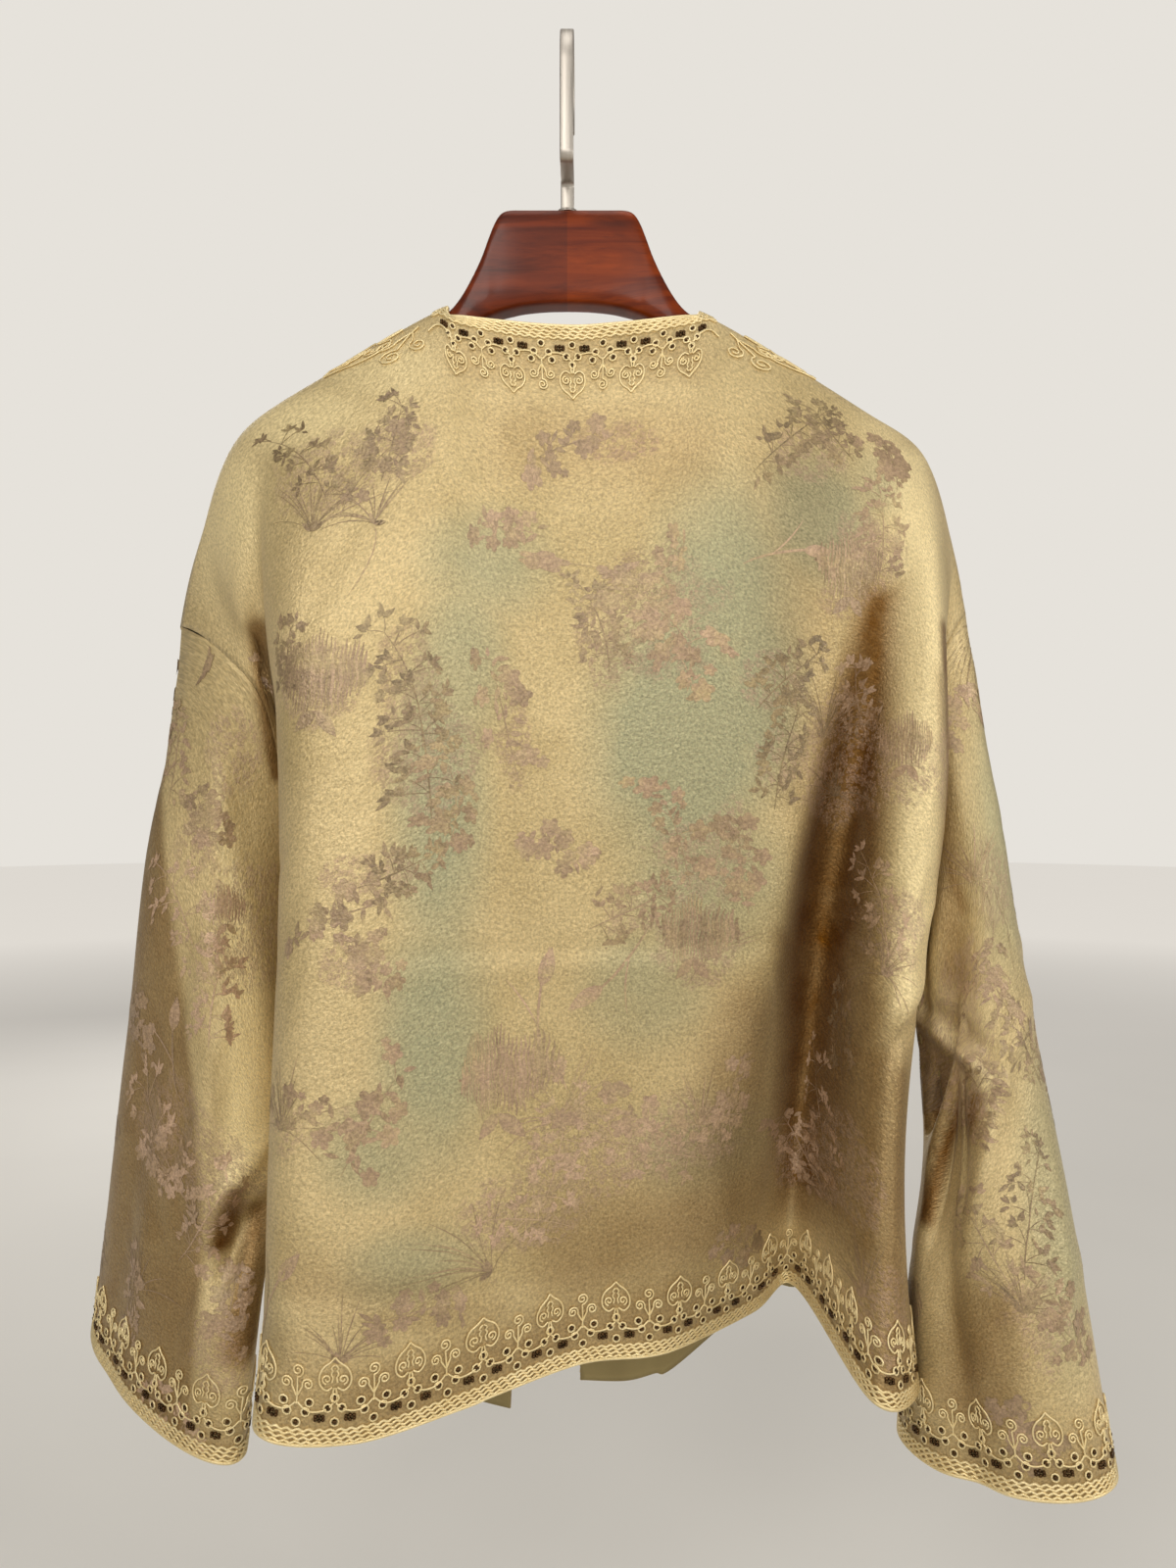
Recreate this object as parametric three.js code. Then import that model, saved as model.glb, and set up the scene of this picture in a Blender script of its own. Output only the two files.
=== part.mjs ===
// A short, collarless silk jacquard cardigan jacket hanging on a contoured wooden hanger.
// Millimetres, +Z up. The origin is where the hook bears on its rod. +X runs along the hanger to
// the right as the garment's back is looked at, and -Y points out of that back.
import * as THREE from "three";

// ---------------------------------------------------------------- driving sizes
const CLOTH = 1.5; // wall of the doubled silk
const SEAM_GAP = 0.3; // between two sewn pieces
const BRAID_WIDTH = 9; // corded braid along neck, hem and cuffs
const BRAID_DEPTH = 1;

const SHOULDER_SLOPE = 0.52; // fall of the shoulder per millimetre outwards
const SHOULDER_RISE = -114; // height at which both shoulder slopes would meet
const SWEEP_START = 60; // where the arms start to bend towards the fronts
const SWEEP_REACH = 130;
const SWEEP = 25; // how far the arm ends lie forward

const HOOK_WIDTH = 7.4;
const HOOK_THICK = 2.6;
const HOOK_RADIUS = 25.4; // inner radius over the rod
const HOOK_DROP = 77; // from the bearing point down to the hook's step
const WOOD_TOP = -97;
const WOOD_HALF_LENGTH = 186;

// The shoulder ridge at a distance along the hanger: cloth and wood both follow it.
const ridgeY = (x) => SWEEP * Math.max(0, (Math.abs(x) - SWEEP_START) / SWEEP_REACH) ** 2;
const ridgeZ = (x) => SHOULDER_RISE - SHOULDER_SLOPE * Math.abs(x);

// ---------------------------------------------------------------- body tables
// Levels run from the shoulder ridge or neck edge (0) to the hem (1).
const LEVELS = [0, 0.028, 0.104, 0.225, 0.372, 0.536, 0.761, 1];
const UNDERARM = 5; // index of the level where armhole turns into side seam
const CELLS = [2, 2, 3, 3, 3, 4, 4]; // wall cells between neighbouring levels

// One row for each upright line of the panel: its top and hem heights, and its place in plan
// at each level: shoulder, crown, cap, blade, armhole, underarm, hip, hem.
const BACK = {
  seamLeft: { top: -324, hem: -738, x: [-227, -202, -172, -166, -166, -167, -162, -158], y: [30, 6, -2, 22, 44, 52, 50, 46] },
  capLeft: { top: -269, hem: -736, x: [-214, -205, -184, -163, -158, -158, -160, -158], y: [30, 14, -12, 4, 5, 8, 5, 0] },
  foldLeft: { top: ridgeZ(191), hem: -733, x: [-191, -190, -166, -154, -147, -146, -149, -150], y: [26, 7, -22, -46, -58, -66, -76, -85] },
  midLeft: { top: ridgeZ(134), hem: -741, x: [-134, -134, -128, -118, -108, -104, -104, -105], y: [8, -9, -30, -50, -62, -70, -78, -80] },
  neckLeft: { top: ridgeZ(72), hem: -734, x: [-72, -72, -68, -64, -60, -57, -55, -54], y: [0, -13, -28, -43, -52, -58, -62, -62] },
  napeLeft: { top: -159, hem: -731, x: [-60, -59, -54, -48, -42, -38, -36, -35], y: [-13, -18, -29, -40, -48, -53, -54, -52] },
  centre: { top: -167, hem: -725, x: [4, 4, 5, 5, 6, 7, 8, 8], y: [-20, -23, -29, -35, -40, -42, -38, -32] },
  napeRight: { top: -159, hem: -727, x: [66, 65, 60, 55, 51, 49, 47, 45], y: [-13, -18, -29, -36, -40, -40, -33, -20] },
  neckRight: { top: ridgeZ(79), hem: -728, x: [79, 79, 78, 76, 74, 72, 70, 67], y: [0, -13, -26, -34, -38, -36, -24, -4] },
  midRight: { top: ridgeZ(137), hem: -725, x: [137, 137, 136, 134, 128, 121, 113, 108], y: [9, -8, -24, -32, -32, -24, 0, 30] },
  trough: { top: ridgeZ(173), hem: -717, x: [173, 174, 175, 178, 163, 151, 142, 136], y: [19, -1, -20, -14, 2, 20, 38, 48] },
  ridgeRight: { top: ridgeZ(198), hem: -730, x: [200, 199, 197, 196, 190, 176, 162, 157], y: [27, 8, -18, -30, -38, -46, -54, -62] },
  foldRight: { top: -236, hem: -741, x: [213, 213, 209, 210, 209, 196, 184, 187], y: [30, 16, -4, -10, -14, -16, -20, -32] },
  capRight: { top: -273, hem: -740, x: [227, 224, 219, 208, 208, 198, 181, 183], y: [40, 28, 16, 3, -1, 0, 8, 0] },
  seamRight: { top: -316, hem: -738, x: [234, 223, 208, 206, 207, 199, 178, 178], y: [35, 22, 20, 16, 12, 15, 32, 30] },
};

// The fronts share the side seam and the shoulder ridge with the back.
const FRONT_LEFT = {
  seamLeft: { top: -324, hem: -738, x: [-227, -224, -214, -200, -184, -167, -162, -158], y: [30, 46, 64, 78, 76, 52, 50, 46] },
  cap: { top: -269, hem: -742, x: [-214, -212, -200, -182, -170, -160, -158, -155], y: [30, 45, 62, 78, 88, 84, 86, 84] },
  fold: { top: ridgeZ(191), hem: -750, x: [-191, -190, -180, -165, -152, -145, -142, -140], y: [26, 44, 62, 82, 93, 98, 100, 98] },
  mid: { top: ridgeZ(134), hem: -770, x: [-134, -134, -128, -118, -108, -104, -100, -98], y: [8, 23, 40, 58, 70, 78, 82, 78] },
  neck: { top: ridgeZ(72), hem: -786, x: [-72, -72, -70, -68, -68, -68, -70, -72], y: [0, 12, 26, 42, 54, 62, 66, 60] },
  collar: { top: -163, hem: -788, x: [-64, -64, -62, -60, -60, -60, -62, -64], y: [14, 18, 27, 40, 50, 57, 61, 56] },
  throat: { top: -205, hem: -789, x: [-50, -50, -47, -44, -43, -44, -47, -50], y: [22, 24, 29, 37, 45, 51, 54, 50] },
  opening: { top: -238, hem: -790, x: [-8, -8, -10, -13, -18, -23, -29, -35], y: [26, 27, 30, 36, 41, 45, 47, 45] },
};
const FRONT_RIGHT = {
  opening: { top: -238, hem: -773, x: [10, 10, 10, 9, 8, 8, 7, 7], y: [26, 27, 30, 36, 41, 45, 47, 45] },
  throat: { top: -205, hem: -776, x: [52, 52, 49, 44, 39, 36, 35, 34], y: [22, 24, 29, 37, 45, 51, 54, 50] },
  collar: { top: -166, hem: -773, x: [71, 71, 69, 65, 62, 58, 55, 52], y: [14, 18, 27, 39, 48, 54, 57, 53] },
  neck: { top: ridgeZ(79), hem: -770, x: [79, 79, 77, 74, 71, 68, 66, 64], y: [0, 12, 26, 40, 50, 57, 60, 55] },
  mid: { top: ridgeZ(137), hem: -736, x: [137, 137, 135, 131, 128, 126, 124, 122], y: [9, 24, 40, 57, 69, 76, 84, 82] },
  inner: { top: ridgeZ(173), hem: -733, x: [173, 173, 170, 161, 156, 151, 145, 142], y: [19, 35, 51, 67, 76, 79, 84, 82] },
  fold: { top: ridgeZ(198), hem: -730, x: [200, 199, 196, 188, 184, 178, 166, 162], y: [27, 44, 60, 74, 80, 80, 80, 78] },
  outer: { top: -236, hem: -733, x: [213, 213, 209, 201, 197, 190, 173, 170], y: [30, 46, 62, 75, 77, 67, 71, 69] },
  cap: { top: -273, hem: -736, x: [227, 226, 220, 212, 208, 199, 178, 176], y: [40, 52, 66, 74, 70, 50, 58, 56] },
  seamRight: { top: -316, hem: -738, x: [234, 232, 227, 221, 214, 199, 178, 178], y: [35, 50, 62, 66, 54, 15, 32, 30] },
};

// ---------------------------------------------------------------- sleeve tables
// One row for each ring down the sleeve: its centre, half its flat width and half its depth in
// plan, how far the flat is turned from the hanger's line, and how far its outer edge rises.
const SLEEVE_LEFT = [
  { x: -204, y: 33, z: -503, half: 35, depth: 33, turn: 4, rise: 87 },
  { x: -214, y: 27, z: -601, half: 52, depth: 28, turn: 29, rise: 49 },
  { x: -224, y: 23, z: -681, half: 67, depth: 25, turn: 40, rise: 29 },
  { x: -234, y: 22, z: -764, half: 80, depth: 23, turn: 44, rise: 13 },
];
const SLEEVE_RIGHT = [
  { x: 225, y: 18, z: -503, half: 20, depth: 30, turn: -4, rise: 85 },
  { x: 233, y: 10, z: -601, half: 30, depth: 40, turn: -32, rise: 49 },
  { x: 234, y: -6, z: -680, half: 43, depth: 43, turn: -45, rise: 31 },
  { x: 238, y: -18, z: -779, half: 57, depth: 43, turn: -42, rise: 2 },
];
const SLEEVE_CELLS = [4, 5, 4, 4]; // wall cells between neighbouring rings
const UNDERARM_ROOM = 2; // how far the sleeve head stands off the side seam at the underarm

// Soft troughs (depth below 0) and ridges pressed into a piece. across and down are the middle
// of the fold as shares of the panel's grid, lean tilts it, wide and long are its reach.
const FOLDS = {
  back: [
    { across: 0.36, down: 0.66, lean: 0.03, wide: 0.2, long: 0.012, depth: -1.6 },
    { across: 0.4, down: 0.88, lean: -0.06, wide: 0.16, long: 0.014, depth: -1.8 },
    { across: 0.3, down: 0.5, lean: 0, wide: 0.05, long: 0.3, depth: 2 },
    { across: 0.5, down: 0.85, lean: 0, wide: 0.045, long: 0.25, depth: -3 },
  ],
  sleeve_left: [
    { across: 0.13, down: 0.5, lean: 0.1, wide: 0.07, long: 0.1, depth: -9 },
    { across: 0.3, down: 0.62, lean: 0, wide: 0.035, long: 0.35, depth: 4 },
  ],
  sleeve_right: [
    { across: 0.12, down: 0.3, lean: -0.25, wide: 0.05, long: 0.07, depth: -13 },
    { across: 0.16, down: 0.14, lean: 0, wide: 0.05, long: 0.06, depth: 7 },
    { across: 0.24, down: 0.8, lean: 0.1, wide: 0.035, long: 0.3, depth: -9 },
  ],
};

// ---------------------------------------------------------------- curves and surfaces
const vec = (x, y, z) => new THREE.Vector3(x, y, z);
const beyond = (p, q) => p.clone().multiplyScalar(2).sub(q); // q mirrored through p
const lerp = THREE.MathUtils.lerp;

// Catmull-Rom curve from a[1] to a[a.length - 2]; t counts control points.
function through(a, t) {
  const i = Math.min(Math.max(Math.floor(t), 0), a.length - 4);
  const f = t - i;
  const weights = [
    (-f * f * f + 2 * f * f - f) / 2,
    (3 * f * f * f - 5 * f * f + 2) / 2,
    (-3 * f * f * f + 4 * f * f + f) / 2,
    (f * f * f - f * f) / 2,
  ];
  const sum = vec(0, 0, 0);
  weights.forEach((w, k) => sum.addScaledVector(a[i + k], w));
  return sum;
}

// Steps between control points, with cells[k] of them in span k.
function steps(cells) {
  const list = cells.flatMap((count, span) => Array.from({ length: count }, (_, k) => span + k / count));
  return [...list, cells.length];
}

// Direction of a surface at (u, v) along (du, dv).
const along = (surface, u, v, du, dv) =>
  surface(u + du * 0.02, v + dv * 0.02).sub(surface(u - du * 0.02, v - dv * 0.02));
const normalAt = (surface, u, v) => along(surface, u, v, 0, 1).cross(along(surface, u, v, 1, 0)).normalize();

// The surface with soft folds pressed into it.
function pressed(surface, spanU, spanV, folds = []) {
  return (u, v) => {
    let push = 0;
    for (const f of folds) {
      const a = (u / spanU - f.across - f.lean * (v / spanV - f.down)) / f.wide;
      const d = (v / spanV - f.down) / f.long;
      push += f.depth * Math.exp(-a * a - d * d);
    }
    const p = surface(u, v);
    return Math.abs(push) < 0.02 ? p : p.addScaledVector(normalAt(surface, u, v), push);
  };
}

// Points and unit normals over a surface. pull moves the edges back by half a seam's gap:
// pull.left, right and top are 1 where the edge is sewn to a neighbour.
function lattice(surface, us, vs, pull, way) {
  const points = [];
  const normals = [];
  us.forEach((u, i) => {
    points.push([]);
    normals.push([]);
    vs.forEach((v, j) => {
      const p = surface(u, v);
      const n = normalAt(surface, u, v);
      const back = (du, dv, amount) => {
        const square = n.clone().cross(along(surface, u, v, dv, du)).normalize();
        const sign = Math.sign(square.dot(along(surface, u, v, du, dv)));
        p.addScaledVector(square, (sign * (amount ?? 0) * SEAM_GAP) / 2);
      };
      if (i === 0) back(1, 0, pull.left);
      if (i === us.length - 1) back(-1, 0, pull.right);
      if (j === 0) back(0, 1, pull.top?.(i));
      points[i].push(p);
      normals[i].push(n.multiplyScalar(way));
    });
  });
  return { points, normals };
}

// A closed wall between two offsets of a lattice, over the cells from range[0] to range[1]
// across and from range[2] to range[3] down. A closed lattice meets itself across.
function wall({ points, normals }, inner, outer, range, closed = false) {
  const rows = points[0].length;
  const [firstU, lastU, firstV, lastV] = range ?? [0, points.length - 1, 0, rows - 1];
  const positions = [];
  for (const offset of [outer, inner])
    points.forEach((line, i) =>
      line.forEach((p, j) => positions.push(...p.clone().addScaledVector(normals[i][j], offset).toArray())),
    );
  const out = (i, j) => i * rows + j;
  const inn = (i, j) => points.length * rows + i * rows + j;
  const index = [];
  const quad = (a, b, c, d) => index.push(a, b, c, a, c, d);
  for (let i = firstU; i < lastU; i++)
    for (let j = firstV; j < lastV; j++) {
      quad(out(i, j), out(i, j + 1), out(i + 1, j + 1), out(i + 1, j));
      quad(inn(i, j), inn(i + 1, j), inn(i + 1, j + 1), inn(i, j + 1));
      if (i === firstU && !closed) quad(out(i, j), inn(i, j), inn(i, j + 1), out(i, j + 1));
      if (i === lastU - 1 && !closed)
        quad(out(i + 1, j + 1), inn(i + 1, j + 1), inn(i + 1, j), out(i + 1, j));
      if (j === firstV) quad(out(i + 1, j), inn(i + 1, j), inn(i, j), out(i, j));
      if (j === lastV - 1) quad(out(i, j + 1), inn(i, j + 1), inn(i + 1, j + 1), out(i + 1, j + 1));
    }
  return solid(positions, index);
}

// A geometry from numbers, turned inside out if its faces look inwards.
function solid(positions, index) {
  let volume = 0;
  const corner = (k) => vec(...positions.slice(3 * index[k], 3 * index[k] + 3));
  for (let k = 0; k < index.length; k += 3) volume += corner(k).dot(corner(k + 1).cross(corner(k + 2)));
  const faces = volume < 0 ? index.map((_, k) => index[k - (k % 3) + [0, 2, 1][k % 3]]) : index;
  const used = [...new Set(faces)];
  const place = new Map(used.map((old, fresh) => [old, fresh]));
  const geometry = new THREE.BufferGeometry();
  const kept = used.flatMap((old) => positions.slice(3 * old, 3 * old + 3));
  geometry.setAttribute("position", new THREE.Float32BufferAttribute(kept, 3));
  geometry.setIndex(faces.map((old) => place.get(old)));
  return geometry;
}

// A closed body through a list of rings with equal numbers of points, flat at both ends.
function loft(rings) {
  const n = rings[0].length;
  const positions = rings.flat().flatMap((p) => p.toArray());
  const index = [];
  for (let r = 0; r < rings.length - 1; r++)
    for (let k = 0; k < n; k++) {
      const [a, b] = [r * n + k, r * n + ((k + 1) % n)];
      index.push(a, b, b + n, a, b + n, a + n);
    }
  const last = (rings.length - 1) * n;
  for (let k = 1; k < n - 1; k++) index.push(0, k + 1, k, last, last + k, last + k + 1);
  return solid(positions, index);
}

// ---------------------------------------------------------------- materials and assembly
const finish = (color, roughness, metalness = 0) =>
  new THREE.MeshStandardMaterial({ color, roughness, metalness });
const SILK = finish(0xb09a62, 0.45, 0.1);
const BRAID = finish(0xd6c183, 0.5);
const WOOD_DARK = finish(0x6b2f1c, 0.3);
const WOOD_LIGHT = finish(0x9a4a20, 0.3);
const STEEL = finish(0xb9b4ac, 0.35, 1);

const part = new THREE.Group();
function add(name, geometry, material) {
  const mesh = new THREE.Mesh(geometry, material);
  mesh.name = name;
  part.add(mesh);
}

// ---------------------------------------------------------------- body panels
// Control points of one table: net[line][level].
const net = (table) =>
  Object.values(table).map((line) =>
    LEVELS.map((share, level) => vec(line.x[level], line.y[level], lerp(line.top, line.hem, share))),
  );
const back = net(BACK);
const left = net(FRONT_LEFT);
const right = net(FRONT_RIGHT);

// Which front line each back line runs into over the shoulder; the neck lines have none.
const fellows = (from, indices) => indices.map((i) => (i === null ? null : from[i]));
const LEFT_FELLOWS = fellows(back, [0, 1, 2, 3, 4, null, null, null]);
const RIGHT_FELLOWS = fellows(back, [null, null, null, 8, 9, 10, 11, 12, 13, 14]);
const BACK_FELLOWS = [...fellows(left, [0, 1, 2, 3, 4, null, null, null]), ...fellows(right, [3, 4, 5, 6, 7, 8, 9])];

// A line's curve from ridge to hem, led over the shoulder by its fellow.
function downLine(line, fellow) {
  const above = fellow ? fellow[1] : beyond(line[0], line[1]);
  const curve = [above, ...line, beyond(line.at(-1), line.at(-2))];
  return (level) => through(curve, level);
}

// A seam line: its own armhole edge down to the underarm, then the side seam both panels share.
function seamLine(own, other) {
  const shared = own.map((p, k) => (k < UNDERARM ? p.clone().lerp(other[k], 0.5) : p));
  const [armhole, side] = [downLine(own, other), downLine(shared, null)];
  return (level) => (level < UNDERARM ? armhole(level) : side(level));
}

// How far round the armhole a level lies, from the underarm (0) up to the shoulder (0.5).
function armholeShare(level) {
  const i = Math.min(Math.floor(level), UNDERARM - 1);
  return 0.5 * (1 - lerp(LEVELS[i], LEVELS[i + 1], level - i) / LEVELS[UNDERARM]);
}

// A point of a sleeve ring. around runs from the underarm (0) over the back to the shoulder
// line (0.5) and over the front to the underarm again (1).
function ringPoint(ring, side, around) {
  const angle = Math.PI * (1 - 2 * around);
  const turn = THREE.MathUtils.degToRad(ring.turn);
  const flat = ring.half * Math.cos(angle);
  const deep = ring.depth * Math.sin(angle);
  return vec(
    ring.x + side * (flat * Math.cos(turn) + deep * Math.sin(turn)),
    ring.y + flat * Math.sin(turn) - deep * Math.cos(turn),
    ring.z + ring.rise * Math.cos(angle),
  );
}

// What lies across a side seam: the sleeve above the underarm, the other panel below it.
function acrossSeam(ring, side, panelSign, otherCap) {
  const cap = downLine(otherCap, null);
  return (level) => {
    const l = Math.max(level, 0);
    if (l >= UNDERARM) return cap(level);
    const share = armholeShare(l);
    return ringPoint(ring, side, panelSign > 0 ? share : 1 - share);
  };
}

// corners are the neck points: there the shoulder seam ends and the neck edge starts, and next
// is the line after it. Close to the ridge both panels lead the seam to one common point.
function panel(lines, fellowLines, seamLeft, seamRight, corners) {
  const columns = lines.map((line, i) => {
    const atSeam = (i === 0 && seamLeft) || (i === lines.length - 1 && seamRight);
    return (atSeam ? seamLine : downLine)(line, fellowLines[i]);
  });
  return (u, level) => {
    const row = columns.map((column) => column(level));
    for (const { line, next, other } of corners) {
      const onShoulder = next > line ? u < line : u > line;
      if (level < 1 && onShoulder) row[next].lerp(other, (1 - level) / 2);
    }
    const first = seamLeft ? seamLeft(level) : beyond(row[0], row[1]);
    const last = seamRight ? seamRight(level) : beyond(row.at(-1), row.at(-2));
    return through([first, ...row, last], u);
  };
}

const drop = 560; // usual height of a panel, for turning the braid's width into a step
const levels = steps(CELLS);
levels[1] = BRAID_WIDTH / (LEVELS[1] * drop);
levels.splice(-1, 0, CELLS.length - BRAID_WIDTH / ((1 - LEVELS.at(-2)) * drop));
const underarmRow = levels.indexOf(UNDERARM);

const BACK_CELLS = [2, 3, 3, 3, 2, 3, 3, 2, 3, 2, 2, 2, 2, 2];
const LEFT_CELLS = [2, 3, 3, 3, 2, 2, 2];
const RIGHT_CELLS = [2, 2, 2, 3, 2, 2, 2, 2, 2];
const before = (cells, line) => cells.slice(0, line).reduce((sum, count) => sum + count, 0);

const backSurface = pressed(
  panel(back, BACK_FELLOWS, acrossSeam(SLEEVE_LEFT[0], -1, 1, left[1]), acrossSeam(SLEEVE_RIGHT[0], 1, 1, right[8]),
    [{ line: 4, next: 5, other: left[5][0] }, { line: 8, next: 7, other: right[2][0] }]),
  14, 7, FOLDS.back,
);
const leftSurface = panel(left, LEFT_FELLOWS, acrossSeam(SLEEVE_LEFT[0], -1, -1, back[1]), null,
  [{ line: 4, next: 5, other: back[5][0] }]);
const rightSurface = panel(right, RIGHT_FELLOWS, null, acrossSeam(SLEEVE_RIGHT[0], 1, -1, back[13]),
  [{ line: 3, next: 2, other: back[7][0] }]);

const PANELS = {
  back: lattice(backSurface, steps(BACK_CELLS), levels, { left: 1, right: 1, top: () => 1 }, 1),
  front_left: lattice(leftSurface, steps(LEFT_CELLS), levels, { left: 1, top: () => 1 }, -1),
  front_right: lattice(rightSurface, steps(RIGHT_CELLS), levels, { right: 1, top: () => 1 }, -1),
};
const NECK_CELLS = {
  back: [before(BACK_CELLS, 4), before(BACK_CELLS, 8)],
  front_left: [before(LEFT_CELLS, 4), before(LEFT_CELLS, 7)],
  front_right: [0, before(RIGHT_CELLS, 3)],
};
const BRAID_IN = CLOTH / 2 + 1.5 * SEAM_GAP;
const BRAID_OUT = BRAID_IN + BRAID_DEPTH;
for (const [name, cloth] of Object.entries(PANELS)) {
  const last = cloth.points.length - 1;
  const hem = levels.length - 1;
  add(name, wall(cloth, -CLOTH / 2, CLOTH / 2), SILK);
  add(`braid_hem_${name}`, wall(cloth, BRAID_IN, BRAID_OUT, [0, last, hem - 1, hem]), BRAID);
  add(`braid_neck_${name}`, wall(cloth, BRAID_IN, BRAID_OUT, [...NECK_CELLS[name], 0, 1]), BRAID);
}

// ---------------------------------------------------------------- sleeves
// A sleeve grows from the armhole, whose rows it shares with the back and the front.
function sleeveSurface(rings, side, backLines, frontLines) {
  const backSeam = side < 0 ? 0 : backLines.length - 1;
  const backCap = side < 0 ? 1 : backLines.length - 2;
  const frontSeam = side < 0 ? 0 : frontLines.length - 1;
  const frontCap = side < 0 ? 1 : frontLines.length - 2;
  const curves = {
    back: [downLine(backLines[backSeam], frontLines[frontSeam]), downLine(backLines[backCap], null)],
    front: [downLine(frontLines[frontSeam], backLines[backSeam]), downLine(frontLines[frontCap], null)],
  };
  return (around, t) => {
    const turned = ((around % 1) + 1) % 1;
    const half = turned <= 0.5 ? "back" : "front";
    const share = turned <= 0.5 ? turned : 1 - turned;
    const level = levelOfShare(share);
    const [seam, cap] = curves[half].map((curve) => curve(level));
    const down = rings.map((ring) => ringPoint(ring, side, turned));
    return through([cap, seam, ...down, beyond(down.at(-1), down.at(-2))], t);
  };
}

function levelOfShare(share) {
  const wanted = (1 - 2 * share) * LEVELS[UNDERARM];
  let i = 0;
  while (i < UNDERARM - 1 && LEVELS[i + 1] < wanted) i++;
  return i + (wanted - LEVELS[i]) / (LEVELS[i + 1] - LEVELS[i]);
}

const seamRows = levels.slice(0, underarmRow + 1);
const arounds = [
  ...seamRows.map(armholeShare).reverse(),
  ...seamRows.slice(1).map((level) => 1 - armholeShare(level)),
];
const cuffSteps = steps(SLEEVE_CELLS);
cuffSteps.splice(-1, 0, SLEEVE_CELLS.length - BRAID_WIDTH / 90);

function sleeve(name, rings, side, frontLines) {
  const surface = pressed(sleeveSurface(rings, side, back, frontLines), 1, rings.length, FOLDS[name]);
  // The head is set in with a little more room at the underarm, where three pieces meet.
  const fromUnderarm = (i) => Math.min(i, arounds.length - 1 - i);
  const room = (i) => Math.exp(-((fromUnderarm(i) / 2) ** 2));
  const cloth = lattice(surface, arounds, cuffSteps, { top: (i) => 1.6 + 10 * room(i) }, 1);
  cloth.points.forEach((line, i) =>
    line.slice(0, 4).forEach((p, j) => (p.x += side * UNDERARM_ROOM * room(i) * (1 - j / 4))),
  );
  const last = cloth.points.length - 1;
  const hem = cuffSteps.length - 1;
  cloth.points[last] = cloth.points[0];
  cloth.normals[last] = cloth.normals[0];
  const outward = side < 0 ? -1 : 1;
  add(name, wall(cloth, -CLOTH / 2, CLOTH / 2, null, true), SILK);
  const [inner, outer] = [BRAID_IN * outward, BRAID_OUT * outward];
  const range = [0, last, hem - 1, hem];
  add(`braid_cuff_${name.slice(7)}`, wall(cloth, Math.min(inner, outer), Math.max(inner, outer), range, true), BRAID);
}
sleeve("sleeve_left", SLEEVE_LEFT, -1, left);
sleeve("sleeve_right", SLEEVE_RIGHT, 1, right);

// ---------------------------------------------------------------- hanger
// Stations of one arm: distance from the middle, top and bottom, half the thickness, and how
// sharp the edges are (1 round, above 1 squarer).
const under = (x) => ridgeZ(x) - 3.2;
const ARM = [
  { x: 0.15, top: WOOD_TOP, bottom: -149, half: 10, square: 3 },
  { x: 12, top: WOOD_TOP, bottom: -149.3, half: 10, square: 3 },
  { x: 24, top: WOOD_TOP, bottom: -150.5, half: 10, square: 3 },
  { x: 34, top: WOOD_TOP - 0.6, bottom: -152.5, half: 9.8, square: 3 },
  { x: 39, top: -101, bottom: -154, half: 9.6, square: 2.6 },
  { x: 43, top: -110, bottom: -156, half: 9.6, square: 2.4 },
  { x: 48, top: -123, bottom: -159, half: 9.2, square: 2 },
  { x: 54, top: -135, bottom: -163, half: 8.8, square: 1.5 },
  { x: 60, top: -145, bottom: -168, half: 8, square: 1.2 },
  { x: 66, top: -151.5, bottom: -173, half: 6.6, square: 1 },
  { x: 74, top: under(74), bottom: -179, half: 6.6, square: 1 },
  { x: 90, top: under(90), bottom: -188, half: 8.6, square: 1 },
  { x: 110, top: under(110), bottom: -199, half: 9.8, square: 1 },
  { x: 132, top: under(132), bottom: -211, half: 11, square: 1 },
  { x: 155, top: under(155), bottom: -223, half: 12.2, square: 1 },
  { x: 172, top: under(172), bottom: -231, half: 12.6, square: 1 },
  { x: 181, top: under(181) - 0.8, bottom: -234, half: 12, square: 1 },
  { x: WOOD_HALF_LENGTH, top: under(186) - 4, bottom: -231, half: 7, square: 1 },
];
const RIM = 20;

function armRing(station, side) {
  const middle = (station.top + station.bottom) / 2;
  const high = (station.top - station.bottom) / 2;
  const power = 1 / station.square;
  const bulge = (v) => Math.sign(v) * Math.abs(v) ** power;
  return Array.from({ length: RIM }, (_, k) => {
    const angle = (2 * Math.PI * (k + 0.5)) / RIM;
    const y = ridgeY(station.x) + station.half * bulge(Math.cos(angle));
    return vec(side * station.x, y, middle + high * bulge(Math.sin(angle)));
  });
}
add("hanger_left", loft(ARM.map((station) => armRing(station, -1))), WOOD_DARK);
add("hanger_right", loft(ARM.map((station) => armRing(station, 1))), WOOD_LIGHT);

// ---------------------------------------------------------------- hook
// The strip's middle line, from its free end over the rod and down to the wood.
function hookLine() {
  const r = HOOK_RADIUS + HOOK_THICK / 2;
  const line = [];
  const arc = (y, z, radius, from, to, count) => {
    for (let k = 0; k <= count; k++) {
      const a = THREE.MathUtils.degToRad(lerp(from, to, k / count));
      line.push([y + radius * Math.cos(a), z + radius * Math.sin(a)]);
    }
  };
  arc(0, -HOOK_RADIUS, r, -28, 180, 26);
  arc(-r + 4, -HOOK_DROP + 2.7, 4, 180, 270, 5);
  arc(-4, -HOOK_DROP - 5.3, 4, 90, 0, 5);
  line.push([0, -94.6]);
  return line;
}

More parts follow.
